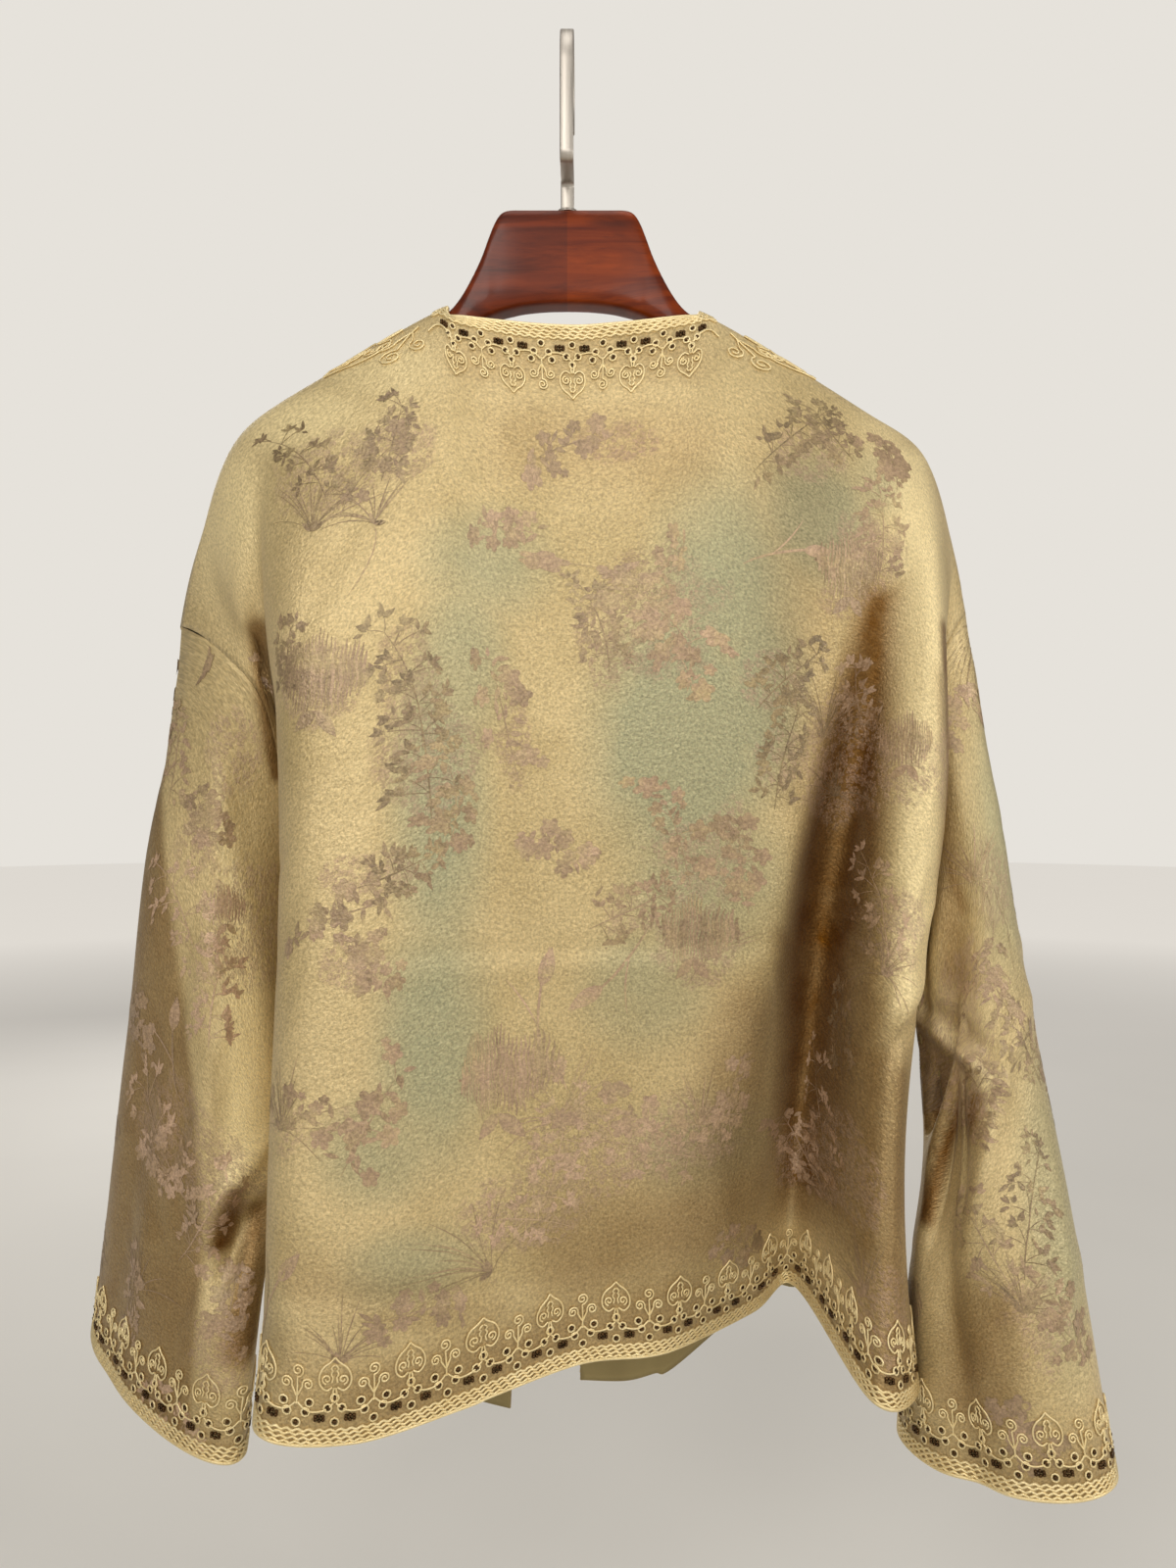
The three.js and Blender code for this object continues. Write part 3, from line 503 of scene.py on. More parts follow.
# Where a cloth's width and length are measured, as shares of its length and width.
SHARES_DOWN, SHARES_ACROSS = (0.2, 0.4, 0.6, 0.8, 1), (0.1, 0.3, 0.5, 0.7)


def finish_mesh(name, bm, materials, smooth=True):
    mesh = bpy.data.meshes.new(name)
    bm.to_mesh(mesh)
    bm.free()
    for face in mesh.polygons:
        face.use_smooth = smooth
    piece = bpy.data.objects.new(name, mesh)
    bpy.context.scene.collection.objects.link(piece)
    for material in materials:
        mesh.materials.append(material)
    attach(piece, "root")
    return piece


def pour(bm, small):
    """Adds all of a small bmesh to a big one."""
    mesh = bpy.data.meshes.new("part")
    small.to_mesh(mesh)
    small.free()
    bm.from_mesh(mesh)
    bpy.data.meshes.remove(mesh)


def weave_at(x, z, facing_y, above_hem):
    """How sage or figured the weave is at places on a cloth, where it has brown patches or painted shade,
    where light is painted on it, and the painted shade behind a border.

    The brown and shaded areas and the painted light fade out where the cloth turns from its back view."""
    to_view = 0.3 - facing_y * 2
    # painted shade, with a few real brown patches of the weave, on the side seen from behind
    brown = np.maximum(strips(x, z, BROWN_AND_SHADE_STRIPS), planes(x, z, SHADE_PLANES)) * np.clip(to_view, 0.15, 1)
    painted_border_shade = BORDER_SHADE * np.clip(1.15 - above_hem / BORDER_BAND, 0, 1)
    # painted light: paler cloth on planes, strips and spots that should look lit
    pale = np.maximum(planes(x, z, LIT_PLANES), np.maximum(ellipses(x, z, LIT_SPOTS), strips(x, z, LIT_STRIPS)))
    return {
        "sage": ellipses(x, z, SAGE),
        "brown_and_shade": np.maximum(brown, painted_border_shade),
        "pale": pale * np.clip(to_view, 0, 1),
        "spray": ellipses(x, z, SPRAYS),
    }


def cloth(node, columns, rows, materials):
    """One panel or sleeve as a walled sheet. Also returns its flat size and flat area (m, m2)."""
    surface, outward, (span_u, span_v) = SURFACES[node], OUTWARD[node], SPANS[node]
    bm = bmesh.new()
    bmesh.ops.create_grid(bm, x_segments=columns, y_segments=rows, size=0.5)
    bm.verts.index_update()
    share = np.array([vert.co[:2] for vert in bm.verts]) + 0.5
    u_of, u_length = even_steps(surface, span_u, span_v * 0.6, True)
    v_of, v_length = even_steps(surface, span_v, span_u * 0.5, False)
    u = np.interp(share[:, 0] * u_length[-1], u_length, u_of)
    v = np.interp(share[:, 1] * v_length[-1], v_length, v_of)
    facing = normals(surface, u, v) * outward
    points = surface(u, v) + facing * HALF_WALL
    # Shifts each cloth along the weave's pattern, so that its neighbours don't repeat it.
    flat_x = (share[:, 0] - 0.5) * u_length[-1] * MM + 0.7 * len(node)
    flat_y = -share[:, 1] * v_length[-1] * MM
    above_hem = (1 - share[:, 1]) * v_length[-1]
    values = weave_at(points[:, 0], points[:, 2], facing[:, 1], above_hem)
    layers = {key: bm.verts.layers.float.new(key) for key in values}
    flat = bm.loops.layers.uv.new("flat")
    for i, vert in enumerate(bm.verts):
        vert.co = points[i] * MM
        for key, layer in layers.items():
            vert[layer] = values[key][i]
        for loop in vert.link_loops:
            loop[flat].uv = (flat_x[i], flat_y[i])
    bm.normal_update()
    agreement = sum(vert.normal.dot(Vector(facing[i])) for i, vert in enumerate(bm.verts))
    if agreement < 0:
        bmesh.ops.reverse_faces(bm, faces=bm.faces[:])
    bmesh.ops.remove_doubles(bm, verts=bm.verts[:], dist=2e-6)
    area = sum(face.calc_area() for face in bm.faces)
    piece = finish_mesh("cloth_" + node, bm, materials)
    wall = piece.modifiers.new("wall", "SOLIDIFY")
    wall.thickness = 2 * HALF_WALL * MM
    wall.offset = -1
    wall.material_offset = 1
    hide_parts(node)
    width = max(even_steps(surface, span_u, span_v * k, True)[1][-1] for k in SHARES_DOWN) * MM
    length = max(even_steps(surface, span_v, span_u * k, False)[1][-1] for k in SHARES_ACROSS) * MM
    return piece, (round(width, 3), round(max(length, area / width * 1.001), 3)), area


# ------------------------------------------------------------------ corded borders
BORDER_DEEP, BORDER_ROWS, STEPS_IN = 50.0, 34, 60  # mm, rows kept over that depth, steps to find them
REPEAT = 37.0  # from one medallion to the next (mm)


class Edge:
    """A strip of cloth along an edge: places (along, in from the edge, above the cloth)."""

    def __init__(self, node, us, v_edge, v_in):
        surface = SURFACES[node]
        steps = np.linspace(v_edge, v_in, STEPS_IN)
        grid_u = np.repeat(us, STEPS_IN)
        points = surface(grid_u, np.tile(steps, len(us))).reshape(len(us), STEPS_IN, 3)
        self.inward = np.linspace(0, BORDER_DEEP, BORDER_ROWS)
        v = np.array([np.interp(self.inward, lengths(line), steps) for line in points]).ravel()
        grid_u = np.repeat(us, BORDER_ROWS)
        self.points = surface(grid_u, v).reshape(len(us), -1, 3)
        self.normals = (normals(surface, grid_u, v) * OUTWARD[node]).reshape(len(us), -1, 3)
        self.along = lengths(self.points[:, 5])
        self.length = self.along[-1]

    def within(self, along, closed):
        """Places along the edge, taken round it again or held at its ends."""
        return np.mod(along, self.length) if closed else np.clip(along, 0, self.length)

    def at(self, along, inward, height):
        i = np.clip(np.searchsorted(self.along, along) - 1, 0, len(self.along) - 2)
        j = np.clip(np.searchsorted(self.inward, inward) - 1, 0, len(self.inward) - 2)
        a = (along - self.along[i]) / (self.along[i + 1] - self.along[i])
        b = (inward - self.inward[j]) / (self.inward[j + 1] - self.inward[j])

        def mixed(grid):
            top = grid[i, j] * (1 - a)[:, None] + grid[i + 1, j] * a[:, None]
            low = grid[i, j + 1] * (1 - a)[:, None] + grid[i + 1, j + 1] * a[:, None]
            return top * (1 - b)[:, None] + low * b[:, None]

        return (mixed(self.points) + mixed(self.normals) * (height + HALF_WALL)) * MM


def turned(points, degrees):
    """Flat points turned left about the origin."""
    c, s = math.cos(math.radians(degrees)), math.sin(math.radians(degrees))
    return points @ np.array([[c, s], [-s, c]])


def local_frame(node, u, v):
    """Turns millimetres to the right and up on the cloth at one place into its own u and v."""
    surface = SURFACES[node]
    here_u, here_v = np.array([float(u)]), np.array([float(v)])
    along_u = slope(surface, here_u, here_v, 1, 0)[0] / (2 * STEP)
    along_v = slope(surface, here_u, here_v, 0, 1)[0] / (2 * STEP)
    facing = normals(surface, here_u, here_v)[0] * OUTWARD[node]
    up = np.array([0, 0, 1]) - facing * facing[2]
    up /= np.linalg.norm(up)
    right = np.cross(up, facing)
    return np.linalg.pinv(np.array([[right @ along_u, right @ along_v], [up @ along_u, up @ along_v]]))


def curve_through(points, step=1.1):
    """A smooth line through a few points, at even steps."""
    points = np.array(points, float)
    controls = np.vstack([beyond(points[0], points[1]), points, beyond(points[-1], points[-2])])
    t = np.linspace(0, len(points) - 1, 12 * len(points))
    line = catmull(controls, t)
    run = lengths(line)
    even = np.linspace(0, run[-1], max(3, int(run[-1] / step)))
    return np.stack([np.interp(even, run, line[:, k]) for k in (0, 1)], axis=1)


def spiral(x, y, radius, start, turns):
    """A scroll that winds in to a fifth of its radius."""
    k = np.linspace(0, 1, max(8, int(13 * abs(turns))))
    angle = math.radians(start) + 2 * math.pi * turns * k
    reach = radius * (1 - 0.8 * k)
    return np.stack([x + reach * np.cos(angle), y + reach * np.sin(angle)], axis=1)


def mirrored(line):
    return line * np.array([-1, 1])


def medallion():
    """A heart with scrolls and a scalloped middle on a short stem."""
    side = curve_through([(0, 43), (2.2, 40.6), (5.6, 38), (7.6, 34), (7.2, 29.6), (4.2, 27), (1.2, 28.6)])
    inner = spiral(3.9, 32.4, 2.5, -80, 1.3)
    scallop = curve_through([(0.2, 39.4), (1.8, 37.8), (0.9, 36.4), (2, 35), (0.9, 33.4), (1.4, 31)])
    stem = curve_through([(0.4, 28.4), (1.0, 25), (0.5, 21.6)])
    halves = [side, inner, scallop, stem]
    return halves + [mirrored(line) for line in halves]


def trefoil():
    """Three scrolls on a forked stem."""
    top = spiral(0, 35.6, 3.2, -90, 1.6)
    side = spiral(5.2, 29.4, 2.9, 200, -1.6)
    arm = curve_through([(0.3, 24), (1.6, 26.4), (2.6, 28.4)])
    stem = curve_through([(0, 20), (0.2, 26), (0, 32.4)])
    return [top, stem, side, arm, mirrored(side), mirrored(arm)]


def ring(x, y, radius):
    angle = np.linspace(0, 2 * math.pi, 9)
    return np.stack([x + radius * np.cos(angle), y + radius * np.sin(angle)], axis=1)


def garland():
    """The swag between two medallions, as its right and its left half."""
    end = REPEAT / 2 - 0.4
    swag = curve_through([(0.6, 21), (4, 18), (9, 16.6), (14, 17.4), (end, 20.8)])
    return [swag, mirrored(swag)]


# Places of the round beads, each in its ring of cord, and of the bar beads' ends round their middle.
BEADS = {
    "heart": [(-3.4, 18.6), (3.4, 18.6), (0, 11.8), (0, 23.4)],
    "trefoil": [(-4.4, 16.4), (4.4, 16.4), (0, 11.4), (-6.2, 21), (6.2, 21)],
}
BUGLES = [(x, y) for x in (-1.9, 0, 1.9) for y in (-1.1 + abs(x) * 0.2, 1.1 - abs(x) * 0.2)]
BUGLES_OUT, BUGLES_IN = 7.4, 13.6
CORD, RING, BEAD, BUGLE = 0.56, 2.0, 1.2, 1.1  # radii
# Rows of braid along the edge: how far in, and the wave, pitch, radius and height of each row's cord.
BRAID_ROWS = (1.9, 3.9, 5.9, 7.7)
WAVE, WAVE_PITCH, BRAID_CORD, BRAID_HEIGHT = 0.65, 5.2, 0.8, 0.4
RIM_CORD, RIM_IN = 1.1, 0.4  # the plain cord on the edge itself: radius and how far in
FIGURE_HEIGHT, BEAD_HEIGHT = 0.6, 0.5  # above the cloth
CORD_STEP = 1.3
BEADS_AT_ONCE = 40


def border_drawing(edge, repeats, closed):
    """A border laid out flat: cords (points, radius, height) and beads (along, in, radius)."""
    pitch = edge.length / repeats
    stretch = pitch / REPEAT
    lines, beads = [], []
    for k in range(repeats):
        heart = (k + 0.5) * pitch
        spots = [(heart, medallion() + garland(), BEADS["heart"])]
        if closed or k < repeats - 1:
            spots.append(((k + 1) * pitch, trefoil(), BEADS["trefoil"]))
        for axis, drawing, places in spots:
            drawing = drawing + [ring(x, y, RING) for x, y in places]
            lines += [(line * (stretch, 1) + (axis, 0), CORD, FIGURE_HEIGHT) for line in drawing]
            beads += [(axis + x, y, BEAD) for x, y in places]
        for middle in (heart - BUGLES_OUT * stretch, heart + BUGLES_OUT * stretch):
            beads += [(middle + x, BUGLES_IN + y, BUGLE) for x, y in BUGLES]
    run = np.arange(0, edge.length, CORD_STEP)
    for row, inward in enumerate(BRAID_ROWS):
        wave = WAVE * np.sin(2 * math.pi * run / WAVE_PITCH + row * math.pi * 0.55)
        lines.append((np.stack([run, inward + wave], axis=1), BRAID_CORD, BRAID_HEIGHT))
    lines.append((np.stack([run, np.full(len(run), RIM_IN)], axis=1), RIM_CORD, 0.0))
    return lines, np.array(beads)


def add_cord(data, points, radius):
    """One cord along its middle line, as a spline of the border's curve."""
    spline = data.splines.new("POLY")
    spline.points.add(len(points) - 1)
    spline.points.foreach_set("co", np.column_stack([points, np.ones(len(points))]).ravel())
    spline.points.foreach_set("radius", np.full(len(points), radius / CORD))


def add_corner(data, node, u0, v0, turn, drawing):
    """A figure of the border that stands away from the edge, turned on the cloth."""
    to_uv = local_frame(node, u0, v0)
    for line in drawing:
        u, v = (np.array([u0, v0]) + turned(line, turn) @ to_uv.T).T
        v = np.clip(v, 0.01, None)
        side = normals(SURFACES[node], u, v) * OUTWARD[node]
        add_cord(data, (SURFACES[node](u, v) + side * (HALF_WALL + FIGURE_HEIGHT)) * MM, CORD)


def add_beads(bm, centres, sizes):
    """Beads in small lots, because making one in a big bmesh is slow."""
    for k in range(0, len(centres), BEADS_AT_ONCE):
        few = bmesh.new()
        for centre, size in zip(centres[k:k + BEADS_AT_ONCE], sizes[k:k + BEADS_AT_ONCE]):
            made = bmesh.ops.create_icosphere(few, subdivisions=1, radius=size * MM)
            bmesh.ops.translate(few, verts=made["verts"], vec=Vector(centre))
        for face in few.faces:
            face.material_index = 1
        pour(bm, few)


def cords(name, edge, repeats, materials, node, closed=False, corners=()):
    """The cord and bead border along one edge, as one piece, with more figures at its corners."""
    lines, beads = border_drawing(edge, repeats, closed)
    data = bpy.data.curves.new(name, "CURVE")
    data.dimensions = "3D"
    data.bevel_depth = CORD * MM
    data.bevel_resolution = 0
    data.use_fill_caps = True
    for line, radius, height in lines:
        inward = np.clip(line[:, 1], 0, BORDER_DEEP)
        add_cord(data, edge.at(edge.within(line[:, 0], closed), inward, height), radius)
    for corner in corners:
        add_corner(data, *corner)
    curve = bpy.data.objects.new(name, data)
    bpy.context.scene.collection.objects.link(curve)
    bpy.context.view_layer.update()
    bm = bmesh.new()
    bm.from_mesh(curve.to_mesh())
    curve.to_mesh_clear()
    bpy.data.objects.remove(curve)
    add_beads(bm, edge.at(edge.within(beads[:, 0], closed), beads[:, 1], BEAD_HEIGHT), beads[:, 2])
    bmesh.ops.recalc_face_normals(bm, faces=bm.faces[:])
    piece = finish_mesh(name, bm, materials)
    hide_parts(node)
    return piece


# ------------------------------------------------------------------ woven figures
# Sprays on each cloth: kind, x, z (mm, seen from behind), size, turn (degrees), tone (0 dark, 1 pale).
FIGURES = {
    "back": [
        ("leafy", -128, -238, 62, 12, 0.15), ("blossom", -110, -252, 56, -20, 0.3),
        ("grass", -134, -282, 46, 8, 0.3), ("leafy", -92, -234, 46, -14, 0.2),
        ("grass", -100, -280, 34, -20, 0.3), ("bloom", -126, -358, 24, 0, 0.45),
        ("leafy", -146, -352, 34, 20, 0.3), ("leafy", -76, -366, 62, 6, 0.05),
        ("leafy", -64, -404, 66, -10, 0.05), ("blossom", -58, -430, 40, -14, 0.35),
        ("blossom", -28, -380, 60, 4, 0.5), ("blossom", 6, -228, 44, 80, 0.45),
        ("blossom", 40, -304, 66, -30, 0.55), ("blossom", 60, -322, 62, 20, 0.55),
        ("leafy", 20, -336, 44, 6, 0.3), ("blossom", 72, -352, 46, -10, 0.5),
        ("leafy", 122, -232, 56, -58, 0.1), ("leafy", 148, -226, 36, 30, 0.2),
        ("stem", 116, -288, 50, -70, 0.75), ("bloom", 154, -300, 20, 0, 0.5),
        ("leafy", 174, -284, 46, -10, 0.5), ("leafy", 112, -360, 44, -35, 0.0),
        ("leafy", 110, -404, 54, 2, 0.0), ("grass", 140, -392, 44, 4, 0.25),
        ("grass", 152, -424, 34, 30, 0.2), ("bloom", 184, -392, 17, 0, 0.7),
        ("leafy", 160, -372, 38, 30, 0.6), ("leafy", -88, -458, 40, -62, 0.2),
        ("blossom", -112, -466, 50, 70, 0.5), ("blossom", -96, -510, 40, 30, 0.5),
        ("blossom", 70, -440, 60, -8, 0.5), ("blossom", 84, -462, 52, 30, 0.5),
        ("bloom", 66, -490, 20, 0, 0.5), ("leafy", 34, -478, 46, -60, 0.45),
        ("grass", 80, -512, 36, 10, 0.45), ("leafy", 172, -486, 56, 14, 0.95),
        ("grass", 168, -520, 34, -20, 0.5), ("stem", 30, -520, 60, 150, 0.8),
        ("stem", -18, -532, 62, 8, 0.85), ("bloom", -34, -560, 27, 0, 0.6),
        ("leafy", -8, -612, 62, -12, 0.95), ("leafy", -20, -640, 52, 70, 0.95),
        ("grass", -4, -596, 44, 0, 0.7), ("blossom", 44, -598, 60, 60, 0.7),
        ("leafy", 52, -616, 60, 80, 0.8), ("grass", 72, -600, 36, -10, 0.6),
        ("blossom", 86, -594, 36, 20, 0.7), ("blossom", -122, -580, 66, 60, 0.5),
        ("blossom", -96, -590, 54, -40, 0.5), ("grass", -140, -588, 40, 0, 0.4),
        ("leafy", 146, -606, 64, 16, 0.9), ("leafy", 132, -636, 46, 70, 0.75),
        ("leafy", 152, -560, 46, 10, 0.2), ("stem", -146, -672, 56, -16, 0.75),
        ("grass", -38, -664, 44, 60, 0.4), ("blossom", -66, -676, 40, 70, 0.5),
        ("grass", 156, -686, 40, 20, 0.45), ("blossom", 100, -680, 44, 60, 0.5),
        ("grass", -112, -700, 34, 0, 0.4), ("blossom", 176, -240, 34, 0, 0.5),
        ("blossom", -30, -278, 36, 70, 0.5), ("blossom", 0, -452, 34, 50, 0.55),
        ("leafy", -160, -440, 44, 20, 0.4),
    ],
    "sleeve_left": [
        ("grass", -194, -268, 44, -12, 0.4), ("blossom", -206, -330, 40, 40, 0.5),
        ("leafy", -226, -398, 52, 10, 0.75), ("blossom", -206, -440, 36, 30, 0.5),
        ("leafy", -206, -498, 74, 8, 1), ("leafy", -196, -540, 46, -14, 1),
        ("bloom", -194, -486, 13, 0, 0.8), ("stem", -226, -566, 54, 16, 0.7),
        ("leafy", -228, -620, 72, 40, 1), ("blossom", -212, -628, 50, 20, 0.95),
        ("leafy", -200, -660, 52, -40, 0.95), ("leafy", -206, -760, 40, 30, 0.95),
        ("blossom", -246, -556, 34, 0, 0.6), ("grass", -240, -700, 40, 10, 0.5),
        ("blossom", -184, -700, 40, 0, 0.6), ("leafy", -246, -712, 44, -20, 0.7),
    ],
    "sleeve_right": [
        ("blossom", 214, -380, 40, 0, 0.6), ("grass", 226, -470, 40, 0, 0.5),
        ("blossom", 232, -520, 44, 20, 0.5), ("leafy", 254, -560, 50, 10, 0.35),
        ("leafy", 242, -640, 62, -14, 0.15), ("grass", 236, -690, 40, 0, 0.2),
        ("blossom", 262, -700, 50, 30, 0.45), ("leafy", 216, -660, 54, 50, 0.5),
        ("blossom", 236, -756, 40, 60, 0.5), ("leafy", 272, -600, 46, 10, 0.4),
        ("bloom", 264, -470, 15, 0, 0.5), ("leafy", 220, -590, 44, -10, 0.5),
    ],
    "front_left": [],
    "front_right": [],
}
# More of the same away from the back view: how many sprays to scatter over each cloth, of what kinds,
# how far apart (mm) and in how many tries for each.
SCATTER = {"back": 8, "front_left": 22, "front_right": 22, "sleeve_left": 16, "sleeve_right": 16}
SCATTER_KINDS = ["leafy", "blossom", "leafy", "blossom", "grass", "bloom"]
SCATTER_APART, SCATTER_TRIES = 44, 60
WEAVE_LIFT = 0.16  # of the figures above the cloth
CLEAR_U, CLEAR_V = 0.03, 0.02  # of u and v, that a figure keeps from a cloth's edges


def leaf(base, degrees, long, wide):
    """Rim of a pointed leaf."""
    t = np.linspace(0, 1, 6)
    half = wide / 2 * np.sin(np.pi * t ** 0.8)
    side = np.stack([half, long * t], axis=1)
    rim = np.concatenate([side, (side * (-1, 1))[-2:0:-1]])
    return turned(rim, degrees) + base


def blossom(centre, degrees, radius):
    """Rim of a flower of five notched petals."""
    angle = np.linspace(0, 2 * math.pi, 25)[:-1]
    reach = radius * (0.45 + 0.55 * np.abs(np.cos(2.5 * angle)) ** 0.6)
    return turned(np.stack([reach * np.cos(angle), reach * np.sin(angle)], axis=1), degrees) + centre


def bent(base, degrees, long, bend, steps=7):
    """Middle line of a stalk that starts at base and bends as it grows."""
    t = np.linspace(0, 1, steps)
    return turned(np.stack([bend * t * t, long * t], axis=1), degrees) + base


def leafy_spray(random, size):
    """Leaf rims and stalks (middle line and width) of a branch with five leaves on each twig."""
    rims, blades = [], []
    stalk = bent(np.array([0, -size / 2]), random.normal(0, 8), size, random.normal(0, 8), 9)
    blades.append((stalk, 0.8))
    for k in range(1, 9):
        side = 1 if k % 2 else -1
        for lean in ((40, 78) if k < 7 else (12, 50)):
            angle = -side * (lean + random.normal(0, 12))
            twig = bent(stalk[k], angle, size * random.uniform(0.1, 0.24), side * 2, 4)
            blades.append((twig, 0.5))
            for turn in (-64, -30, 2, 34, 66):
                rims.append(leaf(
                    twig[-1] + random.normal(0, 1.4, 2), angle + turn + random.normal(0, 12),
                    random.uniform(3.6, 7.4), random.uniform(1.8, 3.2)))
    return rims, blades


def blossom_spray(random, size):
    """A branch of small flowers with loose leaves."""
    rims, blades = [], []
    stalk = bent(np.array([0, -size / 2]), random.normal(0, 12), size, random.normal(0, 12), 7)
    blades.append((stalk, 0.7))
    for k in range(1, 7):
        side = 1 if k % 2 else -1
        angle = -side * random.uniform(28, 80)
        twig = bent(stalk[k], angle, size * random.uniform(0.08, 0.24), side * 3, 4)
        blades.append((twig, 0.5))
        rims.append(blossom(twig[-1], random.uniform(0, 72), random.uniform(4, 7)))
        rims.append(blossom(
            twig[-1] + random.normal(0, 5, 2), random.uniform(0, 72), random.uniform(2.4, 4.2)))
        for _ in range(3):
            base = stalk[k] + random.normal(0, 2.5, 2)
            rims.append(leaf(
                base, random.uniform(-180, 180), random.uniform(5, 9), random.uniform(2.2, 3.4)))
    return rims, blades


def grass_tuft(random, size):
    """Stalks that fan out and bend from one root."""
    blades = []
    for _ in range(17):
        lean = random.normal(0, 42)
        blades.append((bent(np.zeros(2), -lean, size * random.uniform(0.45, 1), lean * 0.22), 0.55))
    return [leaf(np.zeros(2), random.uniform(-60, 60), size * 0.2, 3) for _ in range(4)], blades


def big_bloom(random, radius):
    """A large flower woven as upright ragged stripes."""
    blades = []
    for x in np.arange(-radius, radius, 1.75):
        half = 0.88 * math.sqrt(max(radius ** 2 - x ** 2, 1)) * random.uniform(0.82, 1.05)
        lift = 0.12 * radius * math.cos(x * 0.35) + random.normal(0, 0.6)
        line = np.linspace(-half, half, 9)
        sway = 0.5 * np.sin(line * 0.35 + x * 0.2) + random.normal(0, 0.14, 9)
        blades.append((np.stack([x + sway, line + lift], axis=1), random.uniform(1.1, 1.9)))
    base = np.array([0.0, -radius * 0.8])
    return [leaf(base, 180 + turn, radius * 0.7, radius * 0.3) for turn in (-48, 40)], blades


def stem_and_leaf(random, size):
    """A bare forked stalk with one leaf."""
    stalk = bent(np.array([0.0, -size / 2]), 0, size, size * 0.22, 10)
    second = bent(stalk[3], 14, size * 0.5, -size * 0.12, 7)
    return [leaf(stalk[6], -24, size * 0.36, size * 0.14)], [(stalk, 1.5), (second, 1.0)]


DRAWN = {
    "leafy": leafy_spray, "blossom": blossom_spray, "grass": grass_tuft, "bloom": big_bloom,
    "stem": stem_and_leaf,
}


def blade(line, wide):
    """Outline of a stalk or stripe that tapers to both ends: one side, then the other."""
    run = np.gradient(line, axis=0)
    off = np.stack([-run[:, 1], run[:, 0]], axis=1)
    off = off / np.maximum(np.linalg.norm(run, axis=1), 1e-6)[:, None]
    taper = wide / 2 * np.sin(np.linspace(0.35, 2.9, len(line)))[:, None]
    return np.concatenate([line - off * taper, line + off * taper])


def sprays_on(node, random, grid, facing):
    """The sprays of one cloth (kind, place in the grid, size, turn, tone), drawn ones first."""
    wanted = []
    for kind, x, z, size, turn, tone in FIGURES[node]:
        away = (grid[:, 0] - x) ** 2 + (grid[:, 2] - z) ** 2 + 1e6 * (facing[:, 1] > 0.15)
        wanted.append((kind, np.argmin(away), size, turn, tone))
    taken = [grid[i] for _, i, _, _, _ in wanted]
    most = len(taken) + SCATTER[node]
    for _ in range(SCATTER_TRIES * SCATTER[node]):
        i = random.integers(len(grid))
        in_view = facing[i][1] < 0.1 and node in ("back", "sleeve_left", "sleeve_right")
        clear = min([np.linalg.norm(grid[i] - other) for other in taken] or [99]) > SCATTER_APART
        if clear and not in_view and len(taken) < most:
            taken.append(grid[i])
            kind = SCATTER_KINDS[random.integers(6)]
            size = 20 if kind == "bloom" else random.uniform(40, 66)
            wanted.append((kind, i, size, random.uniform(-60, 60), random.uniform(0.2, 0.8)))
    return wanted


def on_cloth(node, uv):
    """Whether a shape keeps clear of a cloth's edges. A sleeve has none on its way round."""
    (low_u, low_v), (high_u, high_v) = uv.min(axis=0), uv.max(axis=0)
    span_u, span_v = SPANS[node]
    clear_down = low_v >= CLEAR_V and high_v <= span_v - CLEAR_V
    return clear_down and ("sleeve" in node or (low_u >= CLEAR_U and high_u <= span_u - CLEAR_U))


def woven_shape(spray, count, closed):
    """A disc or a blade of faces. Returns its vertices in the order of an outline's points."""
    if not closed:
        verts = bmesh.ops.create_grid(spray, x_segments=count // 2 - 1, y_segments=1, size=1)["verts"]
        return sorted(verts, key=lambda vert: (round(vert.co.y, 3), vert.co.x))
    disc = bmesh.ops.create_circle(spray, cap_ends=True, cap_tris=True, segments=count, radius=1)
    middle, *rim = sorted(disc["verts"], key=lambda vert: vert.co.length)
    return [middle] + sorted(rim, key=lambda vert: math.atan2(vert.co.y, vert.co.x))


def weave_spray(bm, node, here, shapes, turn, tone, random):
    """Adds one spray to a cloth's figures: its shapes turned and laid on the cloth at one place."""
    surface, outward = SURFACES[node], OUTWARD[node]
    to_uv = local_frame(node, *here)
    spray = bmesh.new()
    tone_layer = spray.verts.layers.float.new("tone")
    brown_and_shade_layer = spray.verts.layers.float.new("brown_and_shade")
    made, places, tones = [], [], []
    for outline, closed in shapes:
        uv = np.array(here) + turned(outline, turn) @ to_uv.T
        if not on_cloth(node, uv):
            continue
        made += woven_shape(spray, len(uv), closed)
        if closed:
            uv = np.concatenate([[uv.mean(axis=0)], uv])
        places.append(uv)
        tones += [tone + random.normal(0, 0.09)] * len(uv)
    if not made:
        spray.free()
        return
    places = np.concatenate(places)
    sides = normals(surface, places[:, 0], places[:, 1]) * outward
    points = surface(places[:, 0], places[:, 1]) + sides * (HALF_WALL + WEAVE_LIFT)
    x, z = points[:, 0], points[:, 2]
    # painted shade, with a few real brown patches, under each point, so that the figures' ground matches the
    # cloth
    brown = np.maximum(strips(x, z, BROWN_AND_SHADE_STRIPS), planes(x, z, SHADE_PLANES))
    outward_at = {}
    for vert, point, side, shade, under in zip(made, points, sides, tones, brown):
        vert.co = point * MM
        vert[tone_layer], vert[brown_and_shade_layer] = shade, under
        outward_at[vert] = Vector(side)
    spray.normal_update()
    bmesh.ops.reverse_faces(spray, faces=[
        face for face in spray.faces if face.normal.dot(outward_at[face.verts[0]]) < 0])
    pour(bm, spray)


